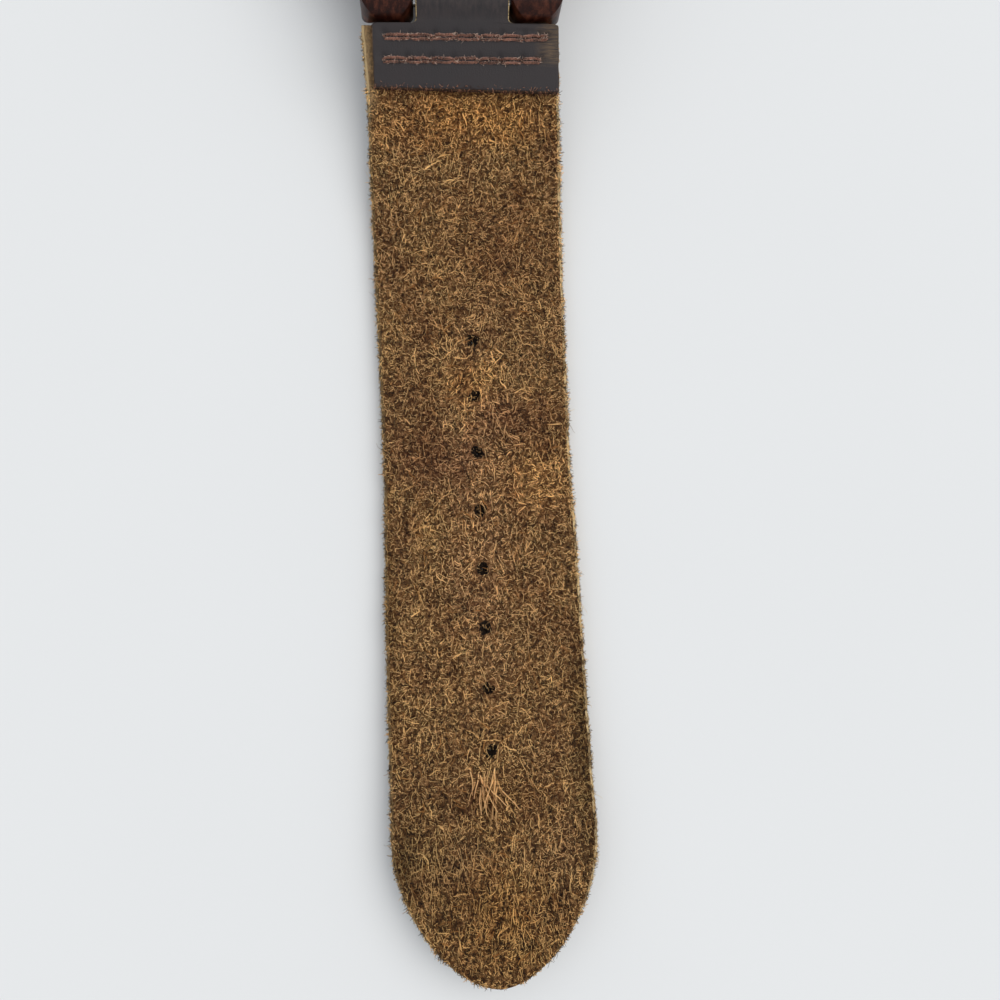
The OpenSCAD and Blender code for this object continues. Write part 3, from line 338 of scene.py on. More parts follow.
def woodMaterial(name, dark, mid, light, gloss, seed, scale=1.0):
    # Grain along Y: bands of the yearly growth, long fine fibres and short dark pores under a clear polish
    material, shader, at = startMaterial(name, {"Coat Weight": gloss, "Coat Roughness": 0.15,
                                                "Specular IOR Level": 0.12})
    bent = warp(at, (6 * scale, 30 * scale, 6 * scale), 1.6 * scale)
    bands = cloud(bent, (1.1 * scale, 22 * scale, 1.3 * scale), 3.0, 0.6, (seed, 0, 0))
    fibres = cloud(bent, (0.12 * scale, 5 * scale, 0.14 * scale), 3.0, 0.65, (seed, 5, 0))
    pores = cloud(at, (0.10 * scale, 1.8 * scale, 0.12 * scale), 1.0, 0.5, (seed, 9, 0))
    poreMask = span(pores, 0.62, 0.72)
    tone = bands * 0.65 + fibres * 0.45
    base = ramp(span(tone, 0.35, 0.75), [(0.0, rgb(*dark)), (0.45, rgb(*mid)), (1.0, rgb(*light))])
    feed(shader, "Base Color", mix(poreMask * 0.75, base, rgb(*[c * 0.35 for c in dark])))
    feed(shader, "Roughness", span(fibres, 0.3, 0.7, 0.3, 0.45) + poreMask * 0.2)
    bump(shader, fibres * 0.5 - poreMask * 0.6, 0.02, 0.6)
    return material


def metalMaterial(name, colour, rough, kind="turned", scale=1.0):
    # Brushed metal: fine scratches in rings about Z, along an axis, or without direction
    material, shader, at = startMaterial(name, {"Metallic": 1.0})
    if kind == "rings":
        flat = at.vector("MULTIPLY", at, (1, 1, 0))
        radius = flat.vector("LENGTH", flat, out="Value")
        x, y = (at.part(axis) / (radius + 0.01) for axis in range(2))
        around = radius.node("ShaderNodeCombineXYZ", {}, {0: radius, 1: x * 1.5, 2: y * 1.5})
        lines = cloud(around, (0.12 * scale, 1.4, 1.4), 2.0, 0.6)
    elif kind == "along":
        lines = cloud(at, (6 * scale, 0.05 * scale, 0.05 * scale), 4.0, 0.7)
    elif kind == "across":
        lines = cloud(at, (0.05 * scale, 6 * scale, 0.05 * scale), 4.0, 0.7)
    else:
        lines = cloud(at, 0.25 * scale, 4.0, 0.7)
    smear = cloud(at, 4.0 * scale, 2.0, 0.5)
    base = mix(span(lines, 0.25, 0.75), tuple(c * 0.86 for c in colour) + (1,), tuple(colour) + (1,))
    feed(shader, "Base Color", base)
    feed(shader, "Roughness", span(lines * 0.5 + smear * 0.5, 0.3, 0.7, rough * 0.75, rough * 1.3))
    bump(shader, lines, 0.012, 0.6)
    return material


def plainMaterial(name, colour, rough, grainSize=0.3, depth=0.01, constants=None):
    material, shader, at = startMaterial(name, {"Specular IOR Level": 0.4, **(constants or {})})
    speck = cloud(at, grainSize, 3.0, 0.6)
    broad = cloud(at, grainSize * 8, 2.0)
    low = tuple(c * 0.85 for c in colour) + (1,)
    high = tuple(min(1, c * 1.1) for c in colour) + (1,)
    feed(shader, "Base Color", mix(span(speck * 0.5 + broad * 0.5, 0.35, 0.65), low, high))
    feed(shader, "Roughness", span(speck, 0.3, 0.7, rough * 0.85, rough * 1.15))
    bump(shader, speck, depth, 0.5)
    return material


def woundMaterial(name, dark, light):
    # Enamelled wire wound round the coil, which lies along X
    material, shader, at = startMaterial(name, {"Metallic": 0.8})
    along = at.part(0) * 28
    turns = along.math("SINE", along)
    feed(shader, "Base Color", mix(span(turns, -1, 1), tuple(dark) + (1,), tuple(light) + (1,)))
    feed(shader, "Roughness", span(cloud(at, 0.3), 0.3, 0.7, 0.28, 0.4))
    bump(shader, turns, 0.03)
    return material


suede = suedeMaterial("suede", 2.0)
grain = grainMaterial("smoothLeather", (44, 40, 42), 4.0)
keeperGrain = grainMaterial("keeperLeather", (50, 45, 46), 9.0)
rawEdge = edgeMaterial("rawEdge", (142, 114, 76), (66, 48, 32), cream=(206, 180, 136))
flapEdge = edgeMaterial("flapEdge", (96, 78, 64), (36, 30, 28), (206, 180, 132))
# The buckle holes' cut walls are painted nearly black: painted shade inside the holes
holeEdge = edgeMaterial("holeEdge", (46, 34, 26), (16, 12, 10))
napFibre = fibreMaterial("napFibre", (24, 12, 7), (255, 212, 146), True)
lightFibre = fibreMaterial("lightFibre", (164, 116, 66), (255, 210, 142), True)
tuftFibre = fibreMaterial("tuftFibre", (98, 64, 36), (252, 206, 146), True)
edgeFibre = fibreMaterial("edgeFibre", (116, 90, 56), (224, 200, 154))
flapFibre = fibreMaterial("flapFibre", (56, 32, 24), (190, 134, 104))
thread = threadMaterial("thread", (22, 11, 9), (168, 116, 96))
threadLint = fibreMaterial("threadLint", (60, 38, 32), (230, 200, 180))
caseWood = woodMaterial("caseWood", (14, 4, 2), (42, 15, 9), (92, 50, 35), 0.08, 3.0, 0.7)
dialWood = woodMaterial("dialWood", (96, 60, 34), (138, 92, 54), (176, 126, 80), 0.1, 8.0, 0.6)
backSteel = metalMaterial("backSteel", (0.58, 0.57, 0.56), 0.3, "rings")
smallSteel = metalMaterial("smallSteel", (0.60, 0.60, 0.61), 0.3, "turned")
crownSteel = metalMaterial("crownSteel", (0.66, 0.65, 0.64), 0.2, "turned")
buckleSteel = metalMaterial("buckleSteel", (0.68, 0.67, 0.66), 0.16, "along")
dialMetal = metalMaterial("dialMetal", (0.80, 0.77, 0.72), 0.25, "across", 0.5)
brass = metalMaterial("brass", (0.80, 0.64, 0.34), 0.25, "rings", 0.5)
batterySteel = metalMaterial("batterySteel", (0.75, 0.75, 0.75), 0.18, "rings")
rubber = plainMaterial("seal", (0.02, 0.02, 0.02), 0.6)
holderPlastic = plainMaterial("holderPlastic", (0.80, 0.80, 0.78), 0.5, 0.4)
wheelPlastic = plainMaterial("wheelPlastic", (0.84, 0.83, 0.78), 0.4, 0.2)
magnet = plainMaterial("magnet", (0.10, 0.10, 0.11), 0.45, 0.08, 0.02)
board = plainMaterial("board", (0.04, 0.20, 0.11), 0.35, 0.2)
chip = plainMaterial("chip", (0.02, 0.02, 0.02), 0.5, 0.1)
secondPaint = plainMaterial("secondPaint", (0.50, 0.12, 0.06), 0.3, 0.15)
coilWire = woundMaterial("coilWire", (0.30, 0.12, 0.05), (0.72, 0.36, 0.16))
glass = plainMaterial("crystalGlass", (0.97, 0.98, 0.98), 0.02, 2.0, 0.0,
                      {"Transmission Weight": 1.0, "IOR": 1.5})
print("materials made")

finishes = {
    glass: "crystal", rubber: "crystal_gasket case_back_gasket crown_gasket", caseWood: "bezel case_body",
    dialWood: "dial", dialMetal: "dial_flange hour_markers hour_hand minute_hand",
    brass: "screw_inserts train_bridge main_plate centre_wheel hour_wheel battery_clip",
    backSteel: "case_back", holderPlastic: "movement_holder", crownSteel: "crown",
    smallSteel: "case_back_screws crown_tube winding_stem sliding_pinion yoke setting_lever setting_wheel "
                "cannon_pinion stator bridge_screws quartz_can long_bar_tube long_bar_tips long_bar_spring "
                "short_bar_tube short_bar_tips short_bar_spring",
    wheelPlastic: "minute_wheel third_wheel seconds_wheel intermediate_wheel", magnet: "rotor",
    coilWire: "coil", board: "circuit_board", chip: "timing_chip", batterySteel: "battery",
    secondPaint: "second_hand", buckleSteel: "buckle_frame buckle_tongue buckle_bar",
    thread: "long_stitches short_stitches buckle_stitches", keeperGrain: "fixed_keeper free_keeper",
    suede: "long_strap short_strap",
}
for material, names in finishes.items():
    for name in names.split():
        nodes[name].data.materials.clear()
        nodes[name].data.materials.append(material)


# Leather strips, all made of cross sections set one behind the other, with sizes in mm and
# u as the distance from the spring bar
longStrap = {"side": -1, "body": "long_strap", "flat": 2.0, "top": 9.2, "fall": 36.0, "rise": 3.0,
             "riseStart": 59.0, "riseLength": 58.0, "length": 117.4, "tipLength": 16.0, "tipPower": 1.7,
             "tipRound": 0.56, "holeStart": 41.1, "holePitch": 7.2, "holes": 8, "flapShift": 0.4,
             "slant": 0.027, "slantStart": 7.3, "napSheets": 3, "napDensity": 5.0e6}
shortStrap = {"side": 1, "body": "short_strap", "flat": 5.8, "top": 9.2, "fall": 30.0, "rise": 0.0,
              "riseStart": 73.0, "riseLength": 58.0, "length": 73.0, "endGap": 2.4, "flapShift": 0.4,
              "edgeFibresEnd": 59.0, "napSheets": 2, "napDensity": 7.0e6}
leather = {"half": 12.0, "thick": 2.0, "flap": 1.2, "shoulder": 2.6, "flapEnd": 9.9, "tongueHalf": 5.75,
           "flapHalf": 11.6, "napStart": 10.6, "rowStep": 0.42}
buckleLoop = {"y": 98.2, "z": 5.5, "half": 11.8, "end": 8.1, "slotHalf": 1.7, "slotStart": 93.8,
              "seamY": 91.45, "seamHigh": 6.9, "seamLow": 3.82}
# How finely a section is divided, and how round its edges are
bodyCut = {"topCount": 56, "lowCount": 14, "topRound": 0.32, "lowRound": 0.22}
endCut = {"topCount": 84, "lowCount": 12, "topRound": 0.12, "lowRound": 0.08}
keeperCut = {"topCount": 10, "lowCount": 4, "topRound": 0.35, "lowRound": 0.25}
# How far each edge of the long strap lies outside the straight cut, from the shoulders to the tip
edgeStations = [0, 3, 9, 14, 19, 24, 34, 45, 50, 55, 60, 65, 75, 86, 96, 106, 117]
leftWander = [0.5, 0.5, 0.15, 0.1, 0.1, 0.05, -0.1, -0.28, -0.36,
              -0.45, -0.42, -0.33, -0.1, -0.05, -0.05, 0.0, 0.0]
rightWander = [0.1, 0.1, 0.05, 0.2, 0.15, 0.05, -0.1, -0.28, -0.34,
               -0.46, -0.4, -0.2, -0.12, -0.1, 0.0, 0.15, 0.1]


def seamHeight(strap, u):
    fallen = max(0.0, 1 - u / strap["fall"])
    risen = max(0.0, (u - strap["riseStart"]) / strap["riseLength"])
    return strap["flat"] + (strap["top"] - strap["flat"]) * fallen ** 2 + strap["rise"] * risen ** 2


def seamFrame(strap, u):
    # A point on the strap's top, as (u, z), and the direction that stands on it
    slope = (seamHeight(strap, u + 0.05) - seamHeight(strap, u - 0.05)) / 0.1
    normal = Vector((-slope, 1.0)).normalized()
    return Vector((u, seamHeight(strap, u))), normal


def roughly(x, y, size, seed=0.0):
    return noise.noise(Vector((x / size, y / size, seed)))


def sectionPoints(left, right, thick, topRound, lowRound, topCount, lowCount):
    # Round a strip's section, as (x, depth below the top, 0 top 1 edge 2 underside)
    limit = (right - left) * 0.4
    topRound, lowRound = min(topRound, limit), min(lowRound, limit)
    points = []
    for i in range(topCount + 1):
        points.append((left + topRound + (right - left - 2 * topRound) * i / topCount, 0.0, 0))
    for angle in (30, 60, 90):
        a = math.radians(angle)
        points.append((right - topRound + topRound * math.sin(a), -topRound + topRound * math.cos(a), 1))
    points.append((right, -thick * 0.5, 1))
    for angle in (0, 45, 90):
        a = math.radians(angle)
        x = right - lowRound + lowRound * math.cos(a)
        points.append((x, -thick + lowRound - lowRound * math.sin(a), 1))
    for i in range(1, lowCount):
        points.append((right - lowRound - (right - left - 2 * lowRound) * i / lowCount, -thick, 2))
    for angle in (90, 45, 0):
        a = math.radians(angle)
        x = left + lowRound - lowRound * math.cos(a)
        points.append((x, -thick + lowRound - lowRound * math.sin(a), 1))
    points.append((left, -thick * 0.5, 1))
    for angle in (90, 60, 30):
        a = math.radians(angle)
        points.append((left + topRound - topRound * math.sin(a), -topRound + topRound * math.cos(a), 1))
    return points


def newPiece(name, mesh):
    piece = bpy.data.objects.new(name, mesh)
    bpy.context.scene.collection.objects.link(piece)
    return piece


def solidPiece(name, points, faces, slots, materials):
    # A closed mesh with a material slot for each face, all faces turned outwards
    mesh = bpy.data.meshes.new(name)
    mesh.from_pydata(points, [], faces)
    mesh.polygons.foreach_set("material_index", slots)
    for material in materials:
        mesh.materials.append(material)
    mesh.shade_smooth()
    turned = bmesh.new()
    turned.from_mesh(mesh)
    bmesh.ops.recalc_face_normals(turned, faces=turned.faces)
    turned.to_mesh(mesh)
    turned.free()
    return newPiece(name, mesh)


def stripMesh(name, rows, side, materials, cut, ruffle, origin=bar["y"], slide=None):
    # rows hold (top point (u, z), normal (u, z), left x, right x, thickness)
    points, kinds = [], []
    for top, normal, left, right, thick in rows:
        for x, depth, kind in sectionPoints(left, right, thick, **cut):
            p = top + normal * (depth + ruffle(x, top[0], depth, kind))
            along = slide(x, top[0]) if slide else 0.0
            points.append((x * mm, side * (origin + p[0] + along) * mm, p[1] * mm))
            kinds.append(kind)
    count = len(points) // len(rows)
    faces, slots = [], []
    for r in range(len(rows) - 1):
        for i in range(count):
            j = (i + 1) % count
            faces.append((r * count + i, r * count + j, (r + 1) * count + j, (r + 1) * count + i))
            slots.append(max(kinds[i], kinds[j]))
    faces.append(tuple(range(count)))
    faces.append(tuple(range(count * (len(rows) - 1), count * len(rows))))
    return solidPiece(name, points, faces, slots + [1, 1], materials)


def asMesh(piece):
    # Applies the modifiers of a piece to a plain mesh
    bpy.context.view_layer.update()
    done = bpy.data.meshes.new_from_object(piece.evaluated_get(bpy.context.evaluated_depsgraph_get()))
    piece.modifiers.clear()
    old = piece.data
    piece.data = done
    done.name = piece.name
    bpy.data.meshes.remove(old)


def steps(start, end, size):
    count = max(1, round((end - start) / size))
    return [start + (end - start) * i / count for i in range(count + 1)]


def tipHalf(strap, u):
    # Half width towards the tip, with its blunt rounded point
    left = max(0.0, strap["length"] - u)
    if left >= strap["tipLength"]:
        return leather["half"]
    share = max(0.0, 1 - (1 - left / strap["tipLength"]) ** strap["tipPower"])
    return leather["half"] * share ** strap["tipRound"]


def longBodyRows():
    strap = longStrap
    places = steps(leather["shoulder"], strap["length"] - strap["tipLength"], leather["rowStep"])
    places += [strap["length"] - strap["tipLength"] * (1 - i / 60) ** 2 for i in range(1, 60)]
    places.append(strap["length"] - 0.004)
    rows = []
    for u in places:
        top, normal = seamFrame(strap, u)
        half = tipHalf(strap, u)
        share = half / leather["half"]
        left = half + np.interp(u, edgeStations, leftWander) * share + 0.10 * roughly(u, 0, 1.1, 3) * share
        right = half + np.interp(u, edgeStations, rightWander) * share + 0.10 * roughly(u, 5, 1.1, 7) * share
        rows.append((top, normal, -left, right, leather["thick"]))
    return rows


def napRuffle(x, u, depth, kind):
    # Lumps of the rough side, none under the turned-back end
    if kind == 2 or depth < -0.6:
        return 0.0
    fade = min(1.0, max(0.0, (u - leather["napStart"]) / 1.5))
    return fade * (0.10 * roughly(x, u, 2.3, 1) + 0.07 * roughly(x, u, 0.9, 2)) - 0.06 * fade


def cutAway(piece, cutter, material):
    # Takes a closed bmesh out of a piece; the cut faces get the given material
    mesh = bpy.data.meshes.new("cutter")
    cutter.to_mesh(mesh)
    cutter.free()
    mesh.materials.append(material)
    tool = newPiece("cutter", mesh)
    cut = piece.modifiers.new("cut", "BOOLEAN")
    cut.operation, cut.solver, cut.object = "DIFFERENCE", "EXACT", tool
    cut.material_mode = "TRANSFER"
    asMesh(piece)
    bpy.data.objects.remove(tool)


# A buckle hole's levels, as height above the strap's top and radius: torn leather nearly closes it
hole = {"sides": 20, "ragged": 0.45, "levels": (
    (1.0, 0.84), (0.0, 0.8), (-0.7, 0.72), (-1.2, 0.12), (-1.5, 0.66), (-2.0, 0.8), (-3.0, 0.8))}


def makeHoles(piece):
    cutters = bmesh.new()
    sides = hole["sides"]
    for i in range(longStrap["holes"]):
        u = longStrap["holeStart"] + longStrap["holePitch"] * i
        loops = []
        for above, radius in hole["levels"]:
            level = seamHeight(longStrap, u) + above
            loop = []
            for k in range(sides):
                a = 2 * math.pi * k / sides
                torn = roughly(math.cos(a) * 2 + i * 5, math.sin(a) * 2, 1.0, level)
                r = radius * (1 + hole["ragged"] * torn)
                x, y = r * math.cos(a), -(bar["y"] + u) + r * math.sin(a)
                loop.append(cutters.verts.new((x * mm, y * mm, level * mm)))
            loops.append(loop)
        for lower, upper in zip(loops, loops[1:]):
            for k in range(sides):
                j = (k + 1) % sides
                cutters.faces.new((lower[k], lower[j], upper[j], upper[k]))
        cutters.faces.new(loops[0])
        cutters.faces.new(list(reversed(loops[-1])))
    bmesh.ops.recalc_face_normals(cutters, faces=cutters.faces)
    cutAway(piece, cutters, holeEdge)


def loopRows(edgeAt, centre, thin, stations):
    # A leather end that comes from under the strap, goes round a bar and lies back on top of the strap.
    # edgeAt gives the strap's top and normal at a distance from the bar, stations the turned-back rows
    wrap = bar["loop"] - bar["bore"]
    rows = []

    def add(top, normal, half, thick, shift=0.0):
        rows.append((top, normal, shift - half, shift + half, thick))

    # Under the strap, sunk a little into it
    for u, sunk in ((4.2, 0.02), (2.6, 0.12)):
        low, normal = edgeAt(u)
        add(low - normal * (leather["thick"] - sunk), -normal, thin, wrap)
    # Round the bar
    for degrees in range(-80, -301, -11):
        a = math.radians(degrees)
        normal = Vector((math.cos(a), math.sin(a)))
        add(centre + normal * bar["loop"], normal, thin, wrap)
    # Over to the first of the turned-back rows
    start, startNormal = rows[-1][0], rows[-1][1]
    end, endNormal = edgeAt(stations[0][0])
    end = end + endNormal * leather["flap"]
    for t in (0.25, 0.5, 0.75):
        bend = 3 * t * t - 2 * t ** 3
        top = start.lerp(end, t) + Vector((0, 0.10 * math.sin(math.pi * t) * (0.5 - t)))
        add(top, startNormal.lerp(endNormal, bend).normalized(), thin, wrap * (1 - t) + leather["flap"] * t)
    for u, half, shift in stations:
        top, normal = edgeAt(u)
        add(top + normal * leather["flap"], normal, half, leather["flap"], shift)
    return rows


def lugStations(strap):
    # From the tongue over its rounded corners to the full width of the turned-back end
    tongue, wide, shift = leather["tongueHalf"], leather["flapHalf"], strap["flapShift"]
    start, end = leather["shoulder"], leather["flapEnd"]
    stations = [(start - 0.5, tongue, 0.0)]
    for du, half in ((-0.28, tongue + 0.1), (-0.14, tongue + 0.3), (-0.05, tongue + 0.75), (0.0, wide - 0.5),
                     (0.1, wide - 0.12)):
        stations.append((start + du, half, shift * (half - tongue) / (wide - tongue)))
    for u in steps(start + 0.25, end, 0.2):
        trim = 0.05 * roughly(u, 0, 1.3, 4) - (0.12 if u > end - 0.05 else 0)
        stations.append((u, wide + trim, shift))
    return stations


# Each sewn row: its distance from the bar, and the places of its needle holes along X
evenNeedles = [-10.15 + 2.9 * i for i in range(8)]
stitchRows = {
    "long": [(4.12, [-9.72, -6.48, -3.56, -0.99, 2.15, 4.8, 7.62, 9.63, 10.5]),
             (6.66, [-9.95, -7.06, -4.05, -1.33, 1.92, 4.48, 7.37, 9.63])],
    "short": [(3.85, evenNeedles), (6.55, evenNeedles)],
    "buckle": [(6.75, evenNeedles)],
}


def dents(rows, x, u):
    # The thread pulls the leather in along a row, most of all at its needle holes
    sunk = 0.0
    for at, needles in rows:
        across = math.exp(-((u - at) / 0.5) ** 2)
        if across > 0.01 and needles[0] - 0.6 < x < needles[-1] + 0.6:
            near = min(abs(x - n) for n in needles)
            sunk += across * (0.10 + 0.22 * math.exp(-(near / 0.32) ** 2))
    return -sunk


def flapRuffle(rows, x, u, kind):
    # The smooth turned-back end: faint waves, dents at the thread, creases
    if kind == 2:
        return 0.0
    lift = 0.03 * roughly(x, u, 3.5, 5) + 0.008 * roughly(x, u, 0.8, 6) + dents(rows, x, u)
    if x > 5.5 and 2 < u < 4.4:
        # Creases that run from the tongue into the right shoulder
        lift += 0.05 * math.sin(u * 9 - x * 0.5) * min(1, (x - 5.5) / 1.5) * min(1, (4.4 - u) / 0.8)
    return lift


def longFlapRuffle(x, u, depth, kind):
    return flapRuffle(stitchRows["long"], x, u, kind)


def flapSlant(x, u):
    # The long strap's turned-back end is cut slightly aslant
    return longStrap["slant"] * x * min(1.0, max(0.0, (u - longStrap["slantStart"]) / 2.0))


def shortFlapRuffle(x, u, depth, kind):
    return flapRuffle(stitchRows["short"], x, u, kind)


def lugEndRows(strap):
    lugBar = Vector((0.0, bar["z"]))
    return loopRows(lambda u: seamFrame(strap, u), lugBar, leather["tongueHalf"], lugStations(strap))


bodyLayers, endLayers = [suede, rawEdge, grain], [grain, flapEdge, suede]
longLeather = stripMesh("longStrapLeather", longBodyRows(), -1, bodyLayers, bodyCut, napRuffle)
makeHoles(longLeather)
longTurned = stripMesh("longStrapTurnedEnd", lugEndRows(longStrap), -1, endLayers, endCut, longFlapRuffle,
                       slide=flapSlant)
print("long strap made,", len(longLeather.data.polygons), "faces")


def shortBodyRows():
    strap = shortStrap
    rows = []
    for u in steps(leather["shoulder"], strap["length"] - strap["endGap"], leather["rowStep"]):
        top, normal = seamFrame(strap, u)
        rows.append((top, normal, -leather["half"] + 0.08 * roughly(u, 3, 1.1, 3),
                     leather["half"] + 0.08 * roughly(u, 8, 1.1, 7), leather["thick"]))
    return rows


def buckleEdge(v):
    # The short strap's top seen from the buckle's bar, v from the bar back along the strap
    return Vector((v, shortStrap["flat"])), Vector((0.0, 1.0))


def buckleEndRows():
    half, end = buckleLoop["half"], buckleLoop["end"]
    stations = [(v, half - (0.1 if v > end - 0.05 else 0), 0.0) for v in steps(2.6, end, 0.22)]
    return loopRows(buckleEdge, Vector((0.0, buckleLoop["z"])), half, stations)


def buckleRuffle(x, v, depth, kind):
    return 0.0 if kind == 2 else 0.03 * roughly(x, v, 3.0, 9) + dents(stitchRows["buckle"], x, v)


def cutSlot(piece):
    # The slot that the buckle's tongue comes through, with round ends
    cutter = bmesh.new()
    half, start, end = buckleLoop["slotHalf"], buckleLoop["slotStart"], buckleLoop["y"] + 5
    angles = [math.pi + math.pi * i / 10 for i in range(11)]
    outline = [(half * math.cos(a), start + half + half * math.sin(a)) for a in angles]
    outline += [(half, end), (-half, end)]
    loops = [[cutter.verts.new((x * mm, y * mm, z * mm)) for x, y in outline] for z in (-1.0, 12.0)]
    for k in range(len(outline)):
        j = (k + 1) % len(outline)
        cutter.faces.new((loops[0][k], loops[0][j], loops[1][j], loops[1][k]))
    cutter.faces.new(list(reversed(loops[0])))
    cutter.faces.new(loops[1])
    bmesh.ops.recalc_face_normals(cutter, faces=cutter.faces)
    cutAway(piece, cutter, flapEdge)


shortLeather = stripMesh("shortStrapLeather", shortBodyRows(), 1, bodyLayers, bodyCut, napRuffle)
shortTurned = stripMesh("shortStrapTurnedEnd", lugEndRows(shortStrap), 1, endLayers, endCut, shortFlapRuffle)
buckleEnd = stripMesh("shortStrapBuckleEnd", buckleEndRows(), -1, endLayers, endCut, buckleRuffle,
                      origin=-buckleLoop["y"])
cutSlot(buckleEnd)
cutSlot(shortLeather)
print("short strap made")


# The two keepers are closed leather bands at these places along Y. The free one slides from trackStart on,
# and step is how finely a band is divided
keeper = {"half": 13.5, "low": 0.03, "high": 7.15, "corner": 2.2, "width": 5.0, "thick": 1.15,
          "fixedAt": 87.3, "freeAt": 70.3, "trackStart": 57.0, "strayEnd": 60.0, "step": 0.45}


def keeperMesh(name, y):
    half, low, high, corner = keeper["half"], keeper["low"], keeper["high"], keeper["corner"]
    path = []
    for cx, cz, first in ((half - corner, high - corner, 0), (corner - half, high - corner, 90),
                          (corner - half, low + corner, 180), (half - corner, low + corner, 270)):
        for i in range(9):
            a = math.radians(first + 90 * i / 8)
            path.append((cx + corner * math.cos(a), cz + corner * math.sin(a), math.cos(a), math.sin(a)))
    around = []
    for (x0, z0, nx0, nz0), (x1, z1, nx1, nz1) in zip(path, path[1:] + path[:1]):
        count = max(1, round(math.hypot(x1 - x0, z1 - z0) / keeper["step"]))
        around += [(x0 + (x1 - x0) * i / count, z0 + (z1 - z0) * i / count, nx0 + (nx1 - nx0) * i / count,
                    nz0 + (nz1 - nz0) * i / count) for i in range(count)]
    points, slots, faces = [], [], []
    section = sectionPoints(-keeper["width"] / 2, keeper["width"] / 2, keeper["thick"], **keeperCut)
    for x, z, nx, nz in around:
        for s, depth, kind in section:
            lift = -0.05 - 0.04 * roughly(x + s, z, 2.0, y)
            out = depth + lift if kind != 2 else depth
            wander = 0.05 * roughly(x, z, 3, y)
            points.append(((x + nx * out) * mm, (y + s + wander) * mm, (z + nz * out) * mm))
    n, m = len(section), len(around)
    for r in range(m):
        for i in range(n):
            j, t = (i + 1) % n, (r + 1) % m
            faces.append((r * n + i, r * n + j, t * n + j, t * n + i))
            slots.append(1 if section[i][2] == 1 and section[j][2] == 1 else 0)
    return solidPiece(name, points, faces, slots, (keeperGrain, flapEdge))


fixedKeeper = keeperMesh("fixedKeeperBand", keeper["fixedAt"])
freeKeeper = keeperMesh("freeKeeperBand", keeper["freeAt"])
print("keepers made")


def geometryTree(name, inputs):
    # A node group, the wires of its named inputs, and the identifiers to set them by
    tree = bpy.data.node_groups.new(name, "GeometryNodeTree")
    keys = {}
    tree.interface.new_socket("Geometry", in_out="INPUT", socket_type="NodeSocketGeometry")
    for label, kind, value in inputs:
        made = tree.interface.new_socket(label, in_out="INPUT", socket_type="NodeSocket" + kind)
        if value is not None:
            made.default_value = value
        keys[label] = made.identifier
    tree.interface.new_socket("Geometry", in_out="OUTPUT", socket_type="NodeSocketGeometry")
    ports = {s.name: Wire(tree, s) for s in tree.nodes.new("NodeGroupInput").outputs}
    return tree, ports, keys


def wobble(start, scale, detail):
    # Noise about 0 along each axis, by the place of each point
    place = start.node("GeometryNodeInputPosition")
    wave = start.node("ShaderNodeTexNoise", {}, {"Vector": place, "Scale": scale, "Detail": detail}, 1)
    return wave.vector("SUBTRACT", wave, (0.5, 0.5, 0.5))


def endTree(curves, sides, thickness, material):
    # The last nodes of a group: a mesh round each curve, with the material that the group is given
    ring = curves.node("GeometryNodeCurvePrimitiveCircle", {"mode": "RADIUS"},
                       {"Resolution": sides, "Radius": 1.0})
    done = curves.node("GeometryNodeCurveToMesh", {}, {"Curve": curves, "Profile Curve": ring,
                                                       "Scale": thickness, "Fill Caps": True})
    done = done.node("GeometryNodeSetShadeSmooth", {}, {"Geometry": done})
    done = done.node("GeometryNodeRealizeInstances", {}, {"Geometry": done})
    done = done.node("GeometryNodeSetMaterial", {}, {"Geometry": done, "Material": material})
    last = curves.tree.nodes.new("NodeGroupOutput")
    curves.tree.links.new(done.socket, last.inputs[0])


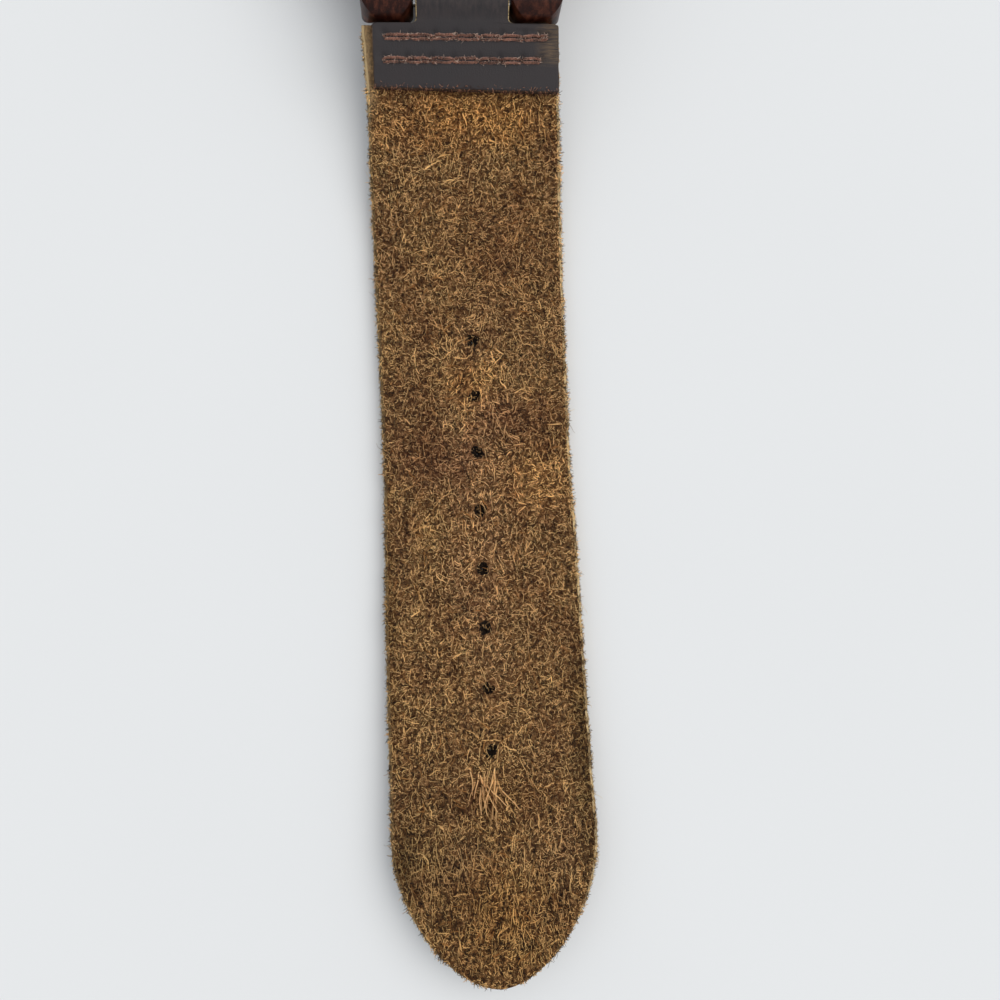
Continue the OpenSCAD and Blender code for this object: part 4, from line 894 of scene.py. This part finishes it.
# Fibres stand on a mesh where its attribute nap lets them
def fibreTree():
    tree, port, keys = geometryTree("fibres", [
        ("Density", "Float", 3.0e6), ("Length", "Float", 0.002), ("Spread", "Float", 0.5),
        ("Lift", "Float", 0.35), ("Curl", "Float", 0.0008), ("Thickness", "Float", 0.00004),
        ("Joints", "Int", 4), ("Seed", "Int", 1), ("Floor", "Float", 0.00002), ("Wave", "Float", 1500.0),
        ("Comb", "Vector", (0, 0, 0)), ("Sweep", "Float", 0.0), ("Material", "Material", None)])
    start = Wire(tree)

    def chance(draw):
        # A number of 0 to 1 for each fibre
        return start.node("FunctionNodeRandomValue", {"data_type": "FLOAT"}, {"Seed": port["Seed"] + draw}, 1)

    nap = start.node("GeometryNodeInputNamedAttribute", {"data_type": "FLOAT"}, {"Name": "nap"})
    roots = start.node("GeometryNodeDistributePointsOnFaces", {}, {
        "Mesh": port["Geometry"], "Density": port["Density"] * nap, "Seed": port["Seed"]}, "Points")
    normal = Wire(tree, roots.socket.node.outputs["Normal"])
    roots = roots.node("GeometryNodeStoreNamedAttribute", {"data_type": "FLOAT", "domain": "POINT"},
                       {"Geometry": roots, "Name": "tone", "Value": chance(11)})
    anyWay = start.node("FunctionNodeRandomValue", {"data_type": "FLOAT_VECTOR"},
                        {0: (-1, -1, -1), 1: (1, 1, 1), "Seed": port["Seed"] + 5}, 0)
    onNormal = normal.scale(anyWay.vector("DOT_PRODUCT", anyWay, normal, out="Value"))
    flat = anyWay.vector("SUBTRACT", anyWay, onNormal)
    heading = flat.vector("NORMALIZE", flat)
    # Neighbours lean the same way
    swirl = wobble(start, 300.0, 2.0)
    swept = swirl.vector("MULTIPLY", swirl, (1, 1, 0)).scale(port["Sweep"])
    for lean in (normal.scale(port["Lift"] * chance(23)), port["Comb"], swept):
        heading = heading.vector("ADD", heading, lean)
    turn = start.node("FunctionNodeAlignRotationToVector", {"axis": "Z"}, {"Vector": heading})
    size = port["Length"] * (1 - port["Spread"] * chance(31))
    # A fibre starts under the surface, so that no gap shows at its root
    line = start.node("GeometryNodeCurvePrimitiveLine", {"mode": "POINTS"},
                      {"Start": (0, 0, -0.12), "End": (0, 0, 1)})
    line = line.node("GeometryNodeResampleCurve", {}, {"Curve": line, "Count": port["Joints"]})
    lines = roots.node("GeometryNodeInstanceOnPoints", {}, {"Points": roots, "Instance": line,
                                                           "Rotation": turn, "Scale": size})
    lines = lines.node("GeometryNodeRealizeInstances", {}, {"Geometry": lines})
    along = start.node("GeometryNodeSplineParameter")
    bend = wobble(start, port["Wave"], 1.0).scale(port["Curl"] * along)
    lines = lines.node("GeometryNodeSetPosition", {}, {"Geometry": lines, "Offset": bend})
    # Nothing goes below the table
    place = start.node("GeometryNodeInputPosition")
    x, y, z = (place.part(axis) for axis in range(3))
    above = start.node("ShaderNodeCombineXYZ", {}, {0: x, 1: y, 2: z.math("MAXIMUM", z, port["Floor"])})
    lines = lines.node("GeometryNodeSetPosition", {}, {"Geometry": lines, "Position": above})
    endTree(lines, 3, port["Thickness"] * (1 - along * 0.6), port["Material"])
    return tree, keys


fibres, fibreKeys = fibreTree()


def setNap(piece, weight):
    # How densely fibres grow at each vertex, by its place in mm and the way that the surface looks there
    mesh = piece.data
    old = mesh.attributes.get("nap")
    if old:
        mesh.attributes.remove(old)
    count = len(mesh.vertices)
    place = np.zeros(count * 3)
    mesh.vertices.foreach_get("co", place)
    facing = np.zeros(count * 3, np.float32)
    mesh.vertex_normals.foreach_get("vector", facing)
    place, facing = place.reshape(-1, 3) / mm, facing.reshape(-1, 3)
    values = np.array([weight(p, n) for p, n in zip(place, facing)], np.float32)
    mesh.attributes.new("nap", "FLOAT", "POINT").data.foreach_set("value", values)


def growFibres(name, base, body, material, sizes):
    piece = newPiece(name, base.data.copy())
    grow = piece.modifiers.new("fibres", "NODES")
    grow.node_group = fibres
    for label, value in sizes.items():
        grow[fibreKeys[label]] = value
    grow[fibreKeys["Material"]] = material
    asMesh(piece)
    piece.data.materials.clear()
    piece.data.materials.append(material)
    piece.data.calc_loop_triangles()
    print(name, len(piece.data.loop_triangles), "triangles")
    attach(piece, body)


def napWeight(p, n):
    # The short nap grows on the rough side outside the turned-back ends, and half as densely on its edges
    u = abs(p[1]) - bar["y"]
    if n[2] < -0.3 or p[1] > buckleLoop["y"] - buckleLoop["end"]:
        return 0.0
    if n[2] > 0.5:
        free = u - leather["flapEnd"] - (flapSlant(p[0], u) if p[1] < 0 else 0.0)
        return min(1.0, 0.5 + free * 0.8) * holeClear(p) if free > -0.1 else 0.0
    strap = longStrap if p[1] < 0 else shortStrap
    return 0.5 if u > 3.3 and p[2] < seamHeight(strap, u) + 0.2 else 0.0


def holeClear(p):
    # Fewer fibres round the holes, so that their openings show
    u = -p[1] - bar["y"]
    step = round((u - longStrap["holeStart"]) / longStrap["holePitch"])
    if not 0 <= step < longStrap["holes"]:
        return 1.0
    away = math.hypot(p[0], u - longStrap["holeStart"] - step * longStrap["holePitch"])
    return min(1.0, max(0.0, (away - 0.7) / 0.9))


def inside(p):
    # 1 well inside the strap and 0 near its edge, so that long fibres don't hang far over it
    u = abs(p[1]) - bar["y"]
    half = tipHalf(longStrap, u) if p[1] < 0 else leather["half"]
    left = longStrap["length"] - u if p[1] < 0 else 20.0
    return min(1.0, max(0.0, (half - abs(p[0]) - 0.5) / 1.5), max(0.0, (left - 1.5) / 3.0))


def longWeight(p, n):
    # None where the free keeper slides
    return napWeight(p, n) * inside(p) if n[2] > 0.5 and p[1] < keeper["trackStart"] else 0.0


def edgeWeight(p, n):
    # The cut edges, but not under the fixed keeper
    u = abs(p[1]) - bar["y"]
    bare = u < shortStrap["edgeFibresEnd"]
    return 1.0 if abs(n[2]) < 0.75 and u > 3.5 and abs(p[0]) > 2 and (p[1] < 0 or bare) else 0.0


def strayWeight(p, n):
    return edgeWeight(p, n) if p[1] < keeper["strayEnd"] else 0.0


def tipWeight(p, n):
    # Combed fibres lie more towards the tip
    u = abs(p[1]) - bar["y"]
    if n[2] <= 0.5 or p[1] >= 0 or u <= 11:
        return 0.0
    return (0.8 * min(1, max(0, (u - 96) / 10)) + 0.10) * inside(p)


def tuftWeight(p, n):
    # One torn tuft below the last hole
    u = abs(p[1]) - bar["y"]
    return math.exp(-((p[0] + 0.2) / 1.7) ** 2 - ((u - 95.0) / 1.6) ** 2) if n[2] > 0.5 and u > 90 else 0.0


def fuzzWeight(p, n):
    # Along the cut end of the long strap's turned-back part
    u = -p[1] - bar["y"]
    return 1.0 if p[2] > 0.003 and u > leather["flapEnd"] + flapSlant(p[0], u) - 0.14 else 0.0


# Each kind of fibre by the end of its pieces' names. Density is the number on a square metre, lengths are
# in metres, and Wave is how often a fibre bends
fibreKinds = {
    "Nap": {"Length": 0.00055, "Spread": 0.5, "Lift": 0.9, "Curl": 0.0012, "Thickness": 0.00005,
            "Joints": 3, "Wave": 2400.0, "Sweep": 7.0},
    "LongFibres": {"Density": 0.34e6, "Length": 0.0021, "Spread": 0.5, "Lift": 0.35, "Curl": 0.0016,
                   "Thickness": 0.000055, "Joints": 7, "Seed": 8, "Wave": 1000.0, "Sweep": 7.0},
    "EdgeFibres": {"Density": 10.0e6, "Length": 0.0006, "Spread": 0.6, "Lift": 0.7, "Curl": 0.0007,
                   "Thickness": 0.00004, "Joints": 4, "Seed": 5},
    "StrayFibres": {"Density": 0.05e6, "Length": 0.0019, "Spread": 0.6, "Lift": 0.8, "Curl": 0.0022,
                    "Thickness": 0.00003, "Joints": 7, "Seed": 6, "Wave": 700.0},
    "Scraps": {"Density": 0.11e6, "Length": 0.0016, "Spread": 0.6, "Lift": 0.25, "Curl": 0.0015,
               "Thickness": 0.00012, "Joints": 6, "Seed": 14, "Wave": 900.0, "Sweep": 7.0},
    "Tuft": {"Density": 3.4e6, "Length": 0.0044, "Spread": 0.5, "Lift": 0.45, "Curl": 0.0014,
             "Thickness": 0.00013, "Joints": 8, "Seed": 15, "Wave": 420.0, "Comb": (0.3, -1.8, 0.25)},
    "TipFibres": {"Density": 4.0e6, "Length": 0.0022, "Spread": 0.55, "Lift": 0.5, "Curl": 0.0008,
                  "Thickness": 0.00005, "Joints": 6, "Seed": 12, "Wave": 900.0, "Comb": (0.2, -3.0, 0.1)},
    "FlapFuzz": {"Density": 14.0e6, "Length": 0.00036, "Spread": 0.6, "Lift": 0.4, "Curl": 0.0008,
                 "Thickness": 0.00003, "Joints": 5, "Seed": 19, "Wave": 2000.0, "Comb": (0, -1.2, 0)},
    "Lint": {"Density": 14.0e6, "Length": 0.00036, "Spread": 0.6, "Lift": 0.9, "Curl": 0.0009,
             "Thickness": 0.00003, "Joints": 4, "Seed": 9, "Wave": 1800.0},
}

for strap, base in ((longStrap, longLeather), (shortStrap, shortLeather)):
    label = strap["body"].split("_")[0] + "Strap"
    setNap(base, napWeight)
    for k in range(strap["napSheets"]):
        sheet = {"Density": strap["napDensity"], "Seed": 3 + 17 * k}
        growFibres("%sNap%d" % (label, k + 1), base, strap["body"], napFibre, {**fibreKinds["Nap"], **sheet})
    for kind, weight, material in (("LongFibres", longWeight, lightFibre),
                                   ("EdgeFibres", edgeWeight, edgeFibre),
                                   ("StrayFibres", strayWeight, edgeFibre)):
        setNap(base, weight)
        growFibres(label + kind, base, strap["body"], material, fibreKinds[kind])
for kind, base, weight, material in (("Scraps", longLeather, longWeight, lightFibre),
                                     ("Tuft", longLeather, tuftWeight, tuftFibre),
                                     ("TipFibres", longLeather, tipWeight, napFibre),
                                     ("FlapFuzz", longTurned, fuzzWeight, flapFibre)):
    setNap(base, weight)
    growFibres("longStrap" + kind, base, "long_strap", material, fibreKinds[kind])
print("fibres grown")


# Sewn rows: every stitch is two strands side by side, each of two plies twisted together
def stitchTree():
    tree, port, keys = geometryTree("stitches", [
        ("Ply", "Float", 0.000105), ("Turns", "Float", 4.5), ("Apart", "Float", 0.00048),
        ("Sink", "Float", 0.00045), ("Loose", "Float", 0.0003), ("Material", "Material", None)])
    start = Wire(tree)

    def join(*parts):
        made = tree.nodes.new("GeometryNodeJoinGeometry")
        for part in parts:
            tree.links.new(part.socket, made.inputs[0])
        return Wire(tree, made.outputs[0])

    def moved(part, offset=(0, 0, 0), turn=(0, 0, 0)):
        return start.node("GeometryNodeTransform", {}, {"Geometry": part, "Translation": offset,
                                                        "Rotation": turn})

    def across(distance):
        return start.node("ShaderNodeCombineXYZ", {}, {1: distance})

    ply = start.node("GeometryNodeCurveSpiral", {}, {
        "Resolution": 6, "Rotations": port["Turns"], "Start Radius": port["Ply"], "End Radius": port["Ply"],
        "Height": 1.0})
    ply = moved(moved(ply, turn=(0, math.pi / 2, 0)), (-0.5, 0, 0))
    strand = join(ply, moved(ply, turn=(math.pi, 0, 0)))
    stitch = join(moved(strand, across(port["Apart"] * 0.5)), moved(strand, across(port["Apart"] * -0.5)))
    # Both strands sink into the needle holes at the stitch's ends and come together there
    place = start.node("GeometryNodeInputPosition")
    bow = abs(place.part(0) * 2) ** 5
    dip = start.node("ShaderNodeCombineXYZ", {}, {1: place.part(1) * bow * -0.55, 2: bow * port["Sink"] * -1})
    stitch = stitch.node("GeometryNodeSetPosition", {}, {"Geometry": stitch, "Offset": dip})
    points = start.node("GeometryNodeMeshToPoints", {"mode": "VERTICES"}, {"Mesh": port["Geometry"]})
    length, lean = (start.node("GeometryNodeInputNamedAttribute", {"data_type": "FLOAT"}, {"Name": label})
                    for label in ("span", "lean"))
    size = start.node("ShaderNodeCombineXYZ", {}, {0: length, 1: 1.0, 2: 1.0})
    turn = start.node("ShaderNodeCombineXYZ", {}, {2: lean})
    rows = points.node("GeometryNodeInstanceOnPoints", {}, {"Points": points, "Instance": stitch,
                                                           "Rotation": turn, "Scale": size})
    rows = rows.node("GeometryNodeRealizeInstances", {}, {"Geometry": rows})
    loose = wobble(start, 900.0, 1.0).scale(port["Loose"])
    rows = rows.node("GeometryNodeSetPosition", {}, {"Geometry": rows, "Offset": loose})
    endTree(rows, 5, port["Ply"], port["Material"])
    return tree, keys


stitches, stitchKeys = stitchTree()


# How far a stitch reaches past its needle holes, strays aside and lies above its row, in mm, how far it
# leans, and how deep the rows sink into the leather's two sides
sewing = {"past": 0.25, "stray": 0.07, "above": 0.16, "lean": 0.07, "sunkHigh": 0.12, "sunkLow": 0.02}


def sewnRows(name, body, replaced, rows):
    # rows hold (needle places along X, y, z, normal in the YZ plane)
    whole = bmesh.new()
    for needles, y, z, (ny, nz) in rows:
        mesh = bpy.data.meshes.new(name)
        pairs = list(zip(needles, needles[1:]))
        middles = [((a + b) / 2 * mm, sewing["stray"] * roughly(a, y, 1.3, 2) * mm, 0.0) for a, b in pairs]
        mesh.from_pydata(middles, [], [])
        spans = [(b - a + sewing["past"]) * mm for a, b in pairs]
        leans = [sewing["lean"] * roughly(b, y, 1.7, 4) for b in needles[1:]]
        mesh.attributes.new("span", "FLOAT", "POINT").data.foreach_set("value", spans)
        mesh.attributes.new("lean", "FLOAT", "POINT").data.foreach_set("value", leans)
        row = newPiece(name, mesh)
        sew = row.modifiers.new("stitches", "NODES")
        sew.node_group = stitches
        sew[stitchKeys["Material"]] = thread
        asMesh(row)
        up = Vector((0, ny, nz)).normalized()
        side = up.cross(Vector((1, 0, 0)))
        turn = Matrix(((1, 0, 0), side, up)).transposed().to_4x4()
        turn.translation = Vector((0, y * mm, z * mm)) + up * (sewing["above"] * mm)
        row.data.transform(turn)
        whole.from_mesh(row.data)
        bpy.data.objects.remove(row)
    mesh = bpy.data.meshes.new(name)
    whole.to_mesh(mesh)
    whole.free()
    mesh.materials.append(thread)
    mesh.shade_smooth()
    piece = newPiece(name, mesh)
    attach(piece, body)
    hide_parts(*replaced)
    print(name, len(mesh.polygons), "faces")
    return piece


def strapRows(strap, label):
    # Each row shows on the turned-back end above and on the strap's smooth side below
    rows, side = [], strap["side"]
    for u, needles in stitchRows[label]:
        top, normal = seamFrame(strap, u)
        upper = top + normal * (leather["flap"] - sewing["sunkHigh"])
        lower = top - normal * (leather["thick"] - sewing["sunkLow"])
        for end, way in ((upper, 1), (lower, -1)):
            facing = (way * side * normal[0], way * normal[1])
            rows.append((needles, side * (bar["y"] + end[0]), end[1], facing))
    return rows


longSewn = sewnRows("longStrapStitches", "long_strap", ["long_stitches"], strapRows(longStrap, "long"))
shortSewn = sewnRows("shortStrapStitches", "short_strap", ["short_stitches"], strapRows(shortStrap, "short"))
buckleSewn = sewnRows("buckleStitches", "short_strap", ["buckle_stitches"], [
    (evenNeedles, buckleLoop["seamY"], buckleLoop["seamHigh"], (0, 1)),
    (evenNeedles, buckleLoop["seamY"], buckleLoop["seamLow"], (0, -1))])
print("rows sewn")


def lintWeight(rows):
    # Most lint is at the needle holes
    needles = [n for _, row in rows for n in row]
    return lambda p, n: 1.0 if min(abs(p[0] - x) for x in needles) < 0.4 else 0.3


for piece, body, label in ((longSewn, "long_strap", "long"), (shortSewn, "short_strap", "short"),
                           (buckleSewn, "short_strap", "buckle")):
    setNap(piece, lintWeight(stitchRows[label]))
    growFibres(piece.name + "Lint", piece, body, threadLint, fibreKinds["Lint"])

for piece in (longLeather, longTurned):
    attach(piece, "long_strap")
    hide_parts("long_strap")
for piece in (shortLeather, shortTurned, buckleEnd):
    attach(piece, "short_strap")
    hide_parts("short_strap")
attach(fixedKeeper, "short_strap")
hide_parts("fixed_keeper")
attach(freeKeeper, "free_keeper")
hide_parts("free_keeper")


def makeStudio():
    s, low = studio["floorSize"], -studio["floorGap"]
    mesh = bpy.data.meshes.new("floor")
    mesh.from_pydata([(-s, -s, low), (s, -s, low), (s, s, low), (-s, s, low)], [], [(0, 1, 2, 3)])
    floor = newPiece("floor", mesh)
    material, shader, at = startMaterial("floorPaper", {"Roughness": 0.9, "Specular IOR Level": 0.1})
    soft = cloud(at, 60.0, 2.0)
    paper = studio["floor"] + (1,)
    shaded = tuple(c * 0.985 for c in studio["floor"]) + (1,)
    feed(shader, "Base Color", mix(span(soft, 0.3, 0.7), shaded, paper))
    mesh.materials.append(material)
    world = bpy.data.worlds.new("studio")
    bpy.context.scene.world = world
    world.use_nodes = True
    tree = world.node_tree
    back = tree.nodes["Background"]
    back.inputs["Color"].default_value = studio["sky"] + (1,)
    back.inputs["Strength"].default_value = studio["world"]
    # The camera sees the paper's colour where the world shows, straight, in a mirror or through glass
    seen = tree.nodes.new("ShaderNodeBackground")
    seen.inputs["Color"].default_value = paper
    direct, shining, through = (Wire(tree).node("ShaderNodeLightPath", out=kind + " Ray")
                                for kind in ("Is Camera", "Is Glossy", "Is Transmission"))
    both = tree.nodes.new("ShaderNodeMixShader")
    out = tree.nodes["World Output"]
    indirect = shining.math("MAXIMUM", shining, through)
    tree.links.new(direct.math("MAXIMUM", direct, indirect).socket, both.inputs[0])
    tree.links.new(back.outputs[0], both.inputs[1])
    tree.links.new(seen.outputs[0], both.inputs[2])
    tree.links.new(both.outputs[0], out.inputs[0])
    lamp = bpy.data.lights.new("key", "SUN")
    lamp.energy, lamp.angle = studio["key"], math.radians(studio["keyAngle"])
    lamp.color = studio["keyColour"]
    holder = bpy.data.objects.new("key", lamp)
    holder.rotation_euler = Vector(studio["keyFrom"]).to_track_quat("Z", "Y").to_euler()
    bpy.context.scene.collection.objects.link(holder)


makeStudio()
print("studio made")
bpy.context.scene.view_settings.view_transform = "Standard"
